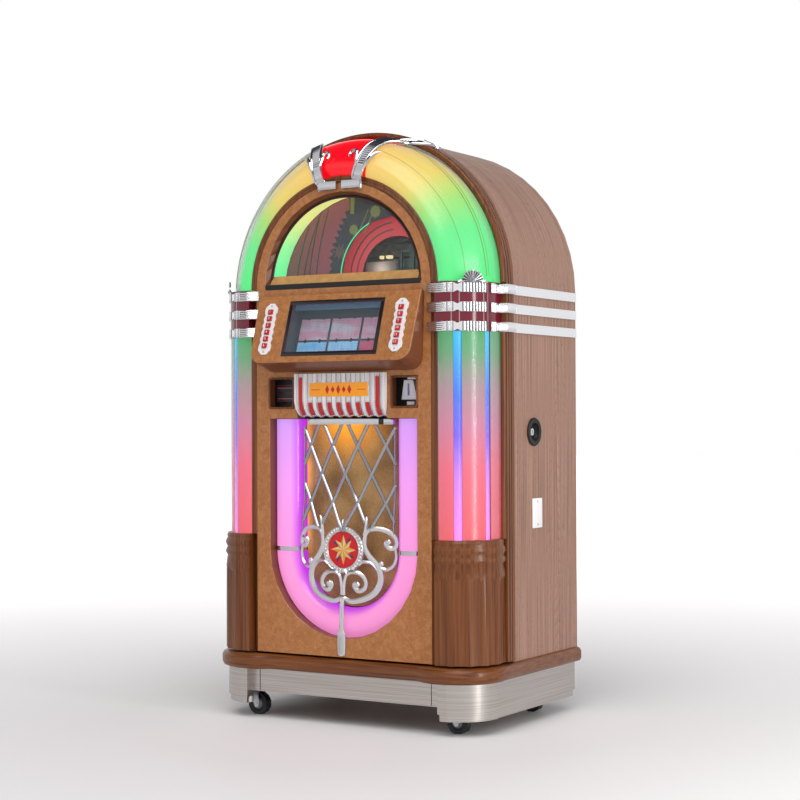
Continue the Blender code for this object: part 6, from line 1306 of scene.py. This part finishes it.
def scroll_depth(x):
    return BURL_Y + 0.002 + 1.3 * x * x


def lattice_depth(x, z):
    share = min(max((z - 0.510) / 0.090, 0), 1)
    share = share * share * (3 - 2 * share)
    return share * lattice_bow(x) + (1 - share) * scroll_depth(x)


def ridged_bar(name, path, halves, deep, flat):
    """A cast bar along points, flat or ridged in front, with a half width at each."""
    rings = []
    for index, half in enumerate(halves):
        before, after = path[max(0, index - 1)], path[min(len(path) - 1, index + 1)]
        side = (Vector(after) - Vector(before)).normalized().cross((0, 1, 0)).normalized()
        rings.append([Vector(path[index]) + side * across * half + Vector((0, front, 0))
                      for across, front in ((-1, deep), (-1, 0), (-flat, -deep),
                                            (flat, -deep), (1, 0), (1, deep))])
    return loft(name, rings)


BAR_HALF, BAR_DEEP, ROD_RADIUS = 0.0048, 0.0026, 0.0026
bars = []
slant = LATTICE_PITCH / (2 * LATTICE_ROW)
for lean in (-1, 1):
    for index in range(-2, 4):
        base = LATTICE_PITCH * (index - 0.5)
        ends = [LATTICE_ROW_Z - (limit - base) * lean / slant
                for limit in (-LATTICE_EDGE, LATTICE_EDGE)]
        top, low = min(BAR_Z, max(ends)), max(0.503, min(ends))
        if top - low < LATTICE_ROW / 2:
            continue
        line = []
        for z in spaced(top, low, 24):
            x = base + (LATTICE_ROW_Z - z) * slant * lean
            line.append((x, lattice_depth(x, z) + (0.0006 if lean > 0 else 0), z))
        bars.append(ridged_bar("bar", line, [BAR_HALF] * len(line), BAR_DEEP, 0.35))
# Rods down both sides that the bars' ends are brazed to
for x in (0.001 - LATTICE_EDGE, LATTICE_EDGE - 0.001):
    line = [(x, lattice_depth(x, z), z) for z in spaced(BAR_Z - 0.02, 0.48, 12)]
    bars.append(cord_piece("rod", line, ROD_RADIUS))
place(join(bars, "lattice_bars"), "door", grey_chrome, ["lattice"])
# Head bar: flat, satin chrome, turned back to the cloth at both ends
rings = []
for share, back in ((-1, 1), (-0.985, 0.5), (-0.9, 0), (-0.7, 0), (-0.45, 0), (-0.15, 0),
                    (0.15, 0), (0.45, 0), (0.7, 0), (0.9, 0), (0.985, 0.5), (1, 1)):
    x = HEAD_HALF * share
    y = lattice_bow(x) + (CLOTH_Y - 0.0043 - lattice_bow(x)) * back
    rings.append([(x, y + front, BAR_Z + up) for front, up in (
        (-0.004, -0.0075), (0.004, -0.0075), (0.004, 0.0073), (-0.004, 0.0073))])
place(soften(loft("lattice_head_bar", rings), 0.0012, 50), "door", satin)
for x, word, material, slot in ((-0.108, "left", satin, "chrome"),
                                (0.108, "right", gloss_black, "dark_metal")):
    fit("lattice_head_end_" + word, (x - 0.010, BURL_Y + 0.0215, 0.7752),
        (x + 0.010, BURL_Y + 0.0290, 0.7895), 0.0008, material, slot)
fit("lattice_head_bracket", (0.1190, BURL_Y + 0.0120, 0.7745),
    (0.1475, BURL_Y + 0.0260, 0.7893), 0.0015, chrome, "chrome")


# Scrollwork: bright cast scrolls, drawn as shares of the medallion's radius from its
# middle, each with its half width at its start, middle and end.
MEDALLION, MEDALLION_Z = 0.061, 0.4535
SCROLLS = (
    ((0.0045, 0.0084, 0.0050),
     [(1.08, 0.68), (1.05, 0.19), (1.22, -0.20), (1.56, -0.60), (1.74, -1.06),
      (1.67, -1.48), (1.40, -1.83), (0.92, -2.06), (0.40, -2.15), (0.07, -2.02)]),
    ((0.0052, 0.0062, 0.0056),
     [(1.06, 0.60), (1.22, 0.84), (1.63, 0.91), (2.08, 0.79), (2.34, 0.50), (2.36, 0.20),
      (2.16, 0.10), (1.96, 0.26), (2.06, 0.45)]),
    ((0.0034, 0.0048, 0.0050),
     [(2.30, 0.20), (2.37, -0.20), (2.27, -0.58), (1.98, -0.78), (1.72, -0.68),
      (1.80, -0.44)]),
    ((0.0034, 0.0042, 0.0040), [(0.78, -0.62), (0.98, -0.48), (1.34, -0.54), (1.58, -0.80)]),
    ((0.0040, 0.0056, 0.0060),
     [(0.055, -1.90), (0.07, -1.44), (0.18, -1.06), (0.46, -0.92), (0.84, -0.99),
      (1.08, -1.28), (1.03, -1.60), (0.74, -1.70), (0.56, -1.48), (0.74, -1.36)]),
    ((0.0042, 0.0040, 0.0042), [(0.09, -0.84), (0.22, -1.01)]),
    ((0.0060, 0.0046, 0.0022), [(1.06, 0.62), (1.10, 1.00), (1.16, 1.42)]))
scrolls = []
for (start, middle, end), shares in SCROLLS:
    path = smooth_path(shares, 6)
    line = [(across * MEDALLION, scroll_depth(across * MEDALLION), MEDALLION_Z + up * MEDALLION)
            for across, up in path]
    halves = [(1 - share) ** 2 * start + share ** 2 * end
              + 2 * share * (1 - share) * (2 * middle - (start + end) / 2)
              for share in spaced(0, 1, len(path) - 1)]
    scrolls.append(ridged_bar("scroll", line, halves, 0.0034, 0.12))
for across, up, radius in ((2.06, 0.36, 0.0085), (1.76, -0.56, 0.0080), (0.70, -1.44, 0.0085)):
    x, z = across * MEDALLION, MEDALLION_Z + up * MEDALLION
    bpy.ops.mesh.primitive_uv_sphere_add(segments=16, ring_count=8, radius=radius,
                                         location=(x, scroll_depth(x), z),
                                         scale=(1, 0.6, 1))
    scrolls.append(applied())
place_both(join(scrolls, "scrollwork_right"), satin)


# Medallion: a dished chrome disc with a beaded rim and a leaf tip. Inside it a red
# enamelled field carries a faceted gold star of eight points, with blue darts.
FRONT_Y = BURL_Y + 0.0035
STAR_Y = FRONT_Y + 0.0028
TO_FRONT = Matrix.Rotation(math.pi / 2, 4, 'X')
profile = [(0, 0.004), (0.0462, 0.004), (0.0476, 0.0005), (0.0500, 0), (0.0512, 0.0016),
           (0.0580, 0.0016), (0.0600, 0.0002), (0.0612, 0.0020), (0.0612, 0.012), (0, 0.012)]
parts = [turned("medallion_dish", [(radius, -depth) for radius, depth in profile], 48,
                Matrix.Translation((0, FRONT_Y, MEDALLION_Z)) @ TO_FRONT)]
for turn in (2 * math.pi * bead / 36 for bead in range(36)):
    x, z = around(0.0546, turn, 0, MEDALLION_Z)
    bpy.ops.mesh.primitive_uv_sphere_add(
        segments=8, ring_count=6, radius=1, location=(x, FRONT_Y + 0.0012, z),
        rotation=(0, -turn, 0), scale=(0.0042, 0.0026, 0.0036))
    parts.append(applied())
for lean in (math.radians(turn) for turn in (-32, 0, 32)):
    tip = [(reach * math.sin(lean), FRONT_Y + depth, MEDALLION_Z + 0.0600 + up * math.cos(lean))
           for reach, depth, up in ((0.010, 0.003, 0), (0.022, 0.001, 0.010),
                                    (0.026, 0.002, 0.0185))]
    parts.append(cord_piece("tip", tip, [0.0030, 0.0040, 0.0008]))
place(join(parts, "medallion"), "door", satin)
field = turned("medallion_field", [(0, 0.0008), (0.0461, 0.0008), (0.0461, 0), (0, 0)], 48,
               Matrix.Translation((0, FRONT_Y + 0.0039, MEDALLION_Z)) @ TO_FRONT)
place(field, "door", enamel_red)
# Star: eight wedges of each tone, from the raised middle over a point to a valley
# Both gold tones glow faintly in their own colour: painted light
for half, way, material in (("pale", -1, plain("pale_gold_enamel", "#cdb27c", 0.3, 0.1)),
                            ("deep", 1, plain("deep_gold_enamel", "#c98518", 0.3, 0.1))):
    points, faces = [], []
    for start in range(0, 48, 6):
        turn = math.pi / 4 * (start / 6) + math.pi / 2
        tip = around(0.0340 if start % 12 else 0.0380, turn, 0, MEDALLION_Z)
        valley = around(0.0180, turn + way * math.pi / 8, 0, MEDALLION_Z)
        corners = [(0, STAR_Y - 0.0022, MEDALLION_Z), (tip[0], STAR_Y, tip[1]),
                   (valley[0], STAR_Y, valley[1])]
        points += corners + [(x, STAR_Y + 0.0003, z) for x, y, z in corners]
        faces += [[start + corner for corner in face] for face in (
            (0, 1, 2), (5, 4, 3), (0, 3, 4, 1), (1, 4, 5, 2), (2, 5, 3, 0))]
    mesh = bpy.data.meshes.new("star_" + half)
    mesh.from_pydata(points, [], faces)
    place(clean(link("medallion_star_" + half, mesh)), "door", material, crease=5)
dart_blue = plain("blue_enamel", "#20257c", 0.3)
for dart in range(4):
    lean = math.pi / 4 + math.pi / 2 * dart + 0.20
    ends = [around(reach, lean + spread) for reach, spread in (
        (0.0345, 0.065), (0.0180, 0.050), (0.0180, -0.050), (0.0345, -0.065))]
    wedge = extrude(sketch("medallion_dart_%d" % (dart + 1),
                           [(x, STAR_Y - 0.0012, MEDALLION_Z + z) for x, z in ends]),
                    (0, 0.0016, 0))
    place(wedge, "door", dart_blue)


# Finger strap: a chrome leaf-engraved strap over the tube's bend, ending in a plate
# with a herringbone on the burl.
STRAP_KNOTS = [(0.3330, BURL_Y + 0.0030, 0.0050), (0.3150, BURL_Y - 0.0010, 0.0062),
               (0.2600, BURL_Y - 0.0032, 0.0064), (0.2440, BURL_Y - 0.0034, 0.0080),
               (0.2360, BURL_Y - 0.0034, 0.0116), (0.1900, BURL_Y - 0.0034, 0.0112),
               (0.1820, BURL_Y - 0.0032, 0.0060)]
parts = [loft("strap", [
    [(half * across, y + depth, z) for across, depth in (
        (-1, 0.0030), (-1, -0.0012), (-0.72, -0.0028), (0, -0.0034), (0.72, -0.0028),
        (1, -0.0012), (1, 0.0030))]
    for z, y, half in smooth_path(STRAP_KNOTS, 8)])]
for step in range(11):
    z = 0.1880 + 0.0042 * step
    parts.append(cord_piece("chevron", [(-0.0088, BURL_Y - 0.0064, z + 0.0032),
                                        (0, BURL_Y - 0.0070, z),
                                        (0.0088, BURL_Y - 0.0064, z + 0.0032)], 0.0009, sides=1))
for step in range(9):
    z = 0.2500 + 0.0068 * step
    y = BURL_Y - 0.0066 if step < 8 else BURL_Y - 0.0050
    parts.append(cord_piece("leaf", [(-0.0050, y + 0.0012, z + 0.0052), (0, y, z),
                                     (0.0050, y + 0.0012, z + 0.0052)], [0.0006, 0.0013, 0.0006],
                            sides=1))
place(join(parts, "finger_strap"), "door", satin)


# Lock ring: a black moulded bezel over the lock on the right side. Its mouth leaves
# the barrel free to turn.
LOCK_Y, LOCK_Z = BURL_Y + 0.289, 0.754
ring = turned("lock_ring", [(0.0240, 0.0002), (0.0240, 0.0042), (0.0262, 0.0056),
                            (0.0345, 0.0056), (0.0364, 0.0036), (0.0364, 0.0002)], 40,
              Matrix.Translation((CABINET_HALF + 0.0004, LOCK_Y, LOCK_Z)) @ TO_PLUS_X)
place(ring, "cabinet", rubber)


# Mechanism: a painted steel deck with a lit fascia, a dark hood over it, a disc
# carousel on its spindle and a transfer arm.
DECK_Y = BURL_Y + 0.206
teal = mottled("hammered_teal_paint", (90.0, 90.0, 90.0), 2.0,
               [(0.3, "#46605c"), (0.7, "#6a8580")], 0.35, 0.3)
paint(teal, "mechanism_frame")
discs = mottled("pressed_discs_and_steel_plates", (60.0, 60.0, 900.0), 1.0,
                [(0.35, "#8f9093"), (0.65, "#c6c8cb")], 0.25, 0.9)
paint(discs, "disc_carousel")
screen = new_material("lit_fascia_screen")
glow = ramp(screen, measure(screen, 'DISTANCE', spot_of(screen), (-0.002, DECK_Y, 1.186)),
            (0.006, "#e6dccf"), (0.030, "#8f857a"), (0.055, "#453f3c"))
wire(screen, {"Base Color": glow, "Roughness": 0.3, "Emission Color": glow,
              "Emission Strength": 0.6})
frame_bars = [block("bar", (left, DECK_Y - 0.018, low), (right, DECK_Y - 0.010, high), 0.001)
              for left, right, low, high in ((0.062, 0.069, 1.172, 1.236),
                                             (0.100, 0.107, 1.172, 1.250),
                                             (0.062, 0.107, 1.228, 1.236))]
place(join(frame_bars, "deck_side_frame"), "cabinet", teal)
hood = plain("dark_olive_hood", "#2a332c", 0.35)
lamp_cream = plain("deck_lamp", "#e8d9a8", 0.3, 0.8, "#ffe9b0")
# Boxes by their limits in X and Z, and how far they stand before the deck
for name, left, right, front, back, low, high, edge, material, slot in (
        ("fascia", -0.0625, 0.0515, 0.0045, 0.0006, 1.172, 1.2125, 0.0020, teal, "teal_metal"),
        ("screen", -0.0510, 0.0450, 0.0062, 0.0047, 1.176, 1.2085, 0.0015, screen,
         "cream_plastic"),
        ("hood", -0.056, 0.100, 0.030, 0.0006, 1.252, 1.272, 0.004, hood, "dark_metal"),
        ("lamp_1", -0.00425, 0.00425, 0.012, 0.0006, 1.2150, 1.2235, 0.001, lamp_cream,
         "cream_plastic"),
        ("lamp_2", 0.016, 0.032, 0.012, 0.0006, 1.2150, 1.2235, 0.001, lamp_cream,
         "cream_plastic")):
    fit("deck_" + name, (left, DECK_Y - front, low), (right, DECK_Y - back, high), edge,
        material, slot, "cabinet")


# Floor, lamps and camera: a pale floor that fades to white far off, a soft sun and a
# tall strip light, and the place that the photograph was taken from.
bpy.ops.mesh.primitive_plane_add(size=60, location=(0, 0, 0))
floor = bpy.context.object
floor.name = "floor"
pale_floor = new_material("pale_floor")
far = ranged(pale_floor, measure(pale_floor, 'LENGTH', spot_of(pale_floor)), 0.7, 5.0, 0.0, 0.6)
eye = add(pale_floor, "LightPath", {}).outputs["Is Camera Ray"]
wire(pale_floor, {"Base Color": "#eeebeb", "Roughness": 0.6, "Emission Color": "#ffffff",
                  "Emission Strength": maths(pale_floor, 'MULTIPLY', far, eye)})
floor.data.materials.append(pale_floor)

# White walls all round and a darker ceiling, and plain white for the camera itself
world = bpy.data.worlds.new("studio")
bpy.context.scene.world = world
world.use_nodes = True
lift = add(world, "SeparateXYZ", {
    "Vector": add(world, "TexCoord", {}).outputs["Generated"]}).outputs["Z"]
walls = ramp(world, lift, (0.0, "#f2f2f3"), (0.16, "#efeff0"), (0.45, "#dadadc"),
             (0.62, "#5a5b5e"), (0.85, "#3c3d40"))
set_sockets(world, world.node_tree.nodes["World Output"], {"Surface": add(world, "MixShader", {
    0: add(world, "LightPath", {}).outputs["Is Camera Ray"],
    1: add(world, "Background", {"Color": walls, "Strength": 1.0}),
    2: add(world, "Background", {"Color": "#ffffff", "Strength": 1.0})})})


def aim(name, lamp, azimuth, distance, height):
    """Put a lamp at an azimuth from the front and turn it to the object's middle."""
    turn = math.radians(azimuth)
    spot = Vector((distance * math.sin(turn), -distance * math.cos(turn), height))
    lamp = link(name, lamp)
    lamp.matrix_world = (Matrix.Translation(spot) @ (Vector((0, 0, 0.75)) - spot)
                         .to_track_quat('-Z', 'Y').to_matrix().to_4x4())


sun = bpy.data.lights.new("overhead_softbox", 'SUN')
sun.energy, sun.angle = 1.9, math.radians(50)
aim("overhead_softbox", sun, 25, 2.2, 4.2)
strip = bpy.data.lights.new("tall_strip", 'AREA')
strip.shape, strip.size, strip.size_y, strip.energy = 'RECTANGLE', 0.40, 2.4, 34
aim("tall_strip", strip, 75.6, 3.0, 1.0)

camera = link("camera", bpy.data.cameras.new("camera"))
camera.data.lens, camera.data.sensor_width = 81.08, 36.0
turn, pitch, roll = math.radians(31.346), math.radians(0.5855), math.radians(-0.2328)
ahead = Vector((-math.sin(turn) * math.cos(pitch), math.cos(turn) * math.cos(pitch),
                math.sin(pitch)))
level = Vector((math.cos(turn), math.sin(turn), 0))
upright = level.cross(ahead)
side = level * math.cos(roll) + upright * math.sin(roll)
up = upright * math.cos(roll) - level * math.sin(roll)
camera.matrix_world = Matrix.Translation((2.5360, -4.11034, 0.7902)) @ Matrix(
    ((side.x, up.x, -ahead.x, 0), (side.y, up.y, -ahead.y, 0), (side.z, up.z, -ahead.z, 0),
     (0, 0, 0, 1)))
bpy.context.scene.camera = camera
bpy.context.scene.view_settings.view_transform = 'Standard'
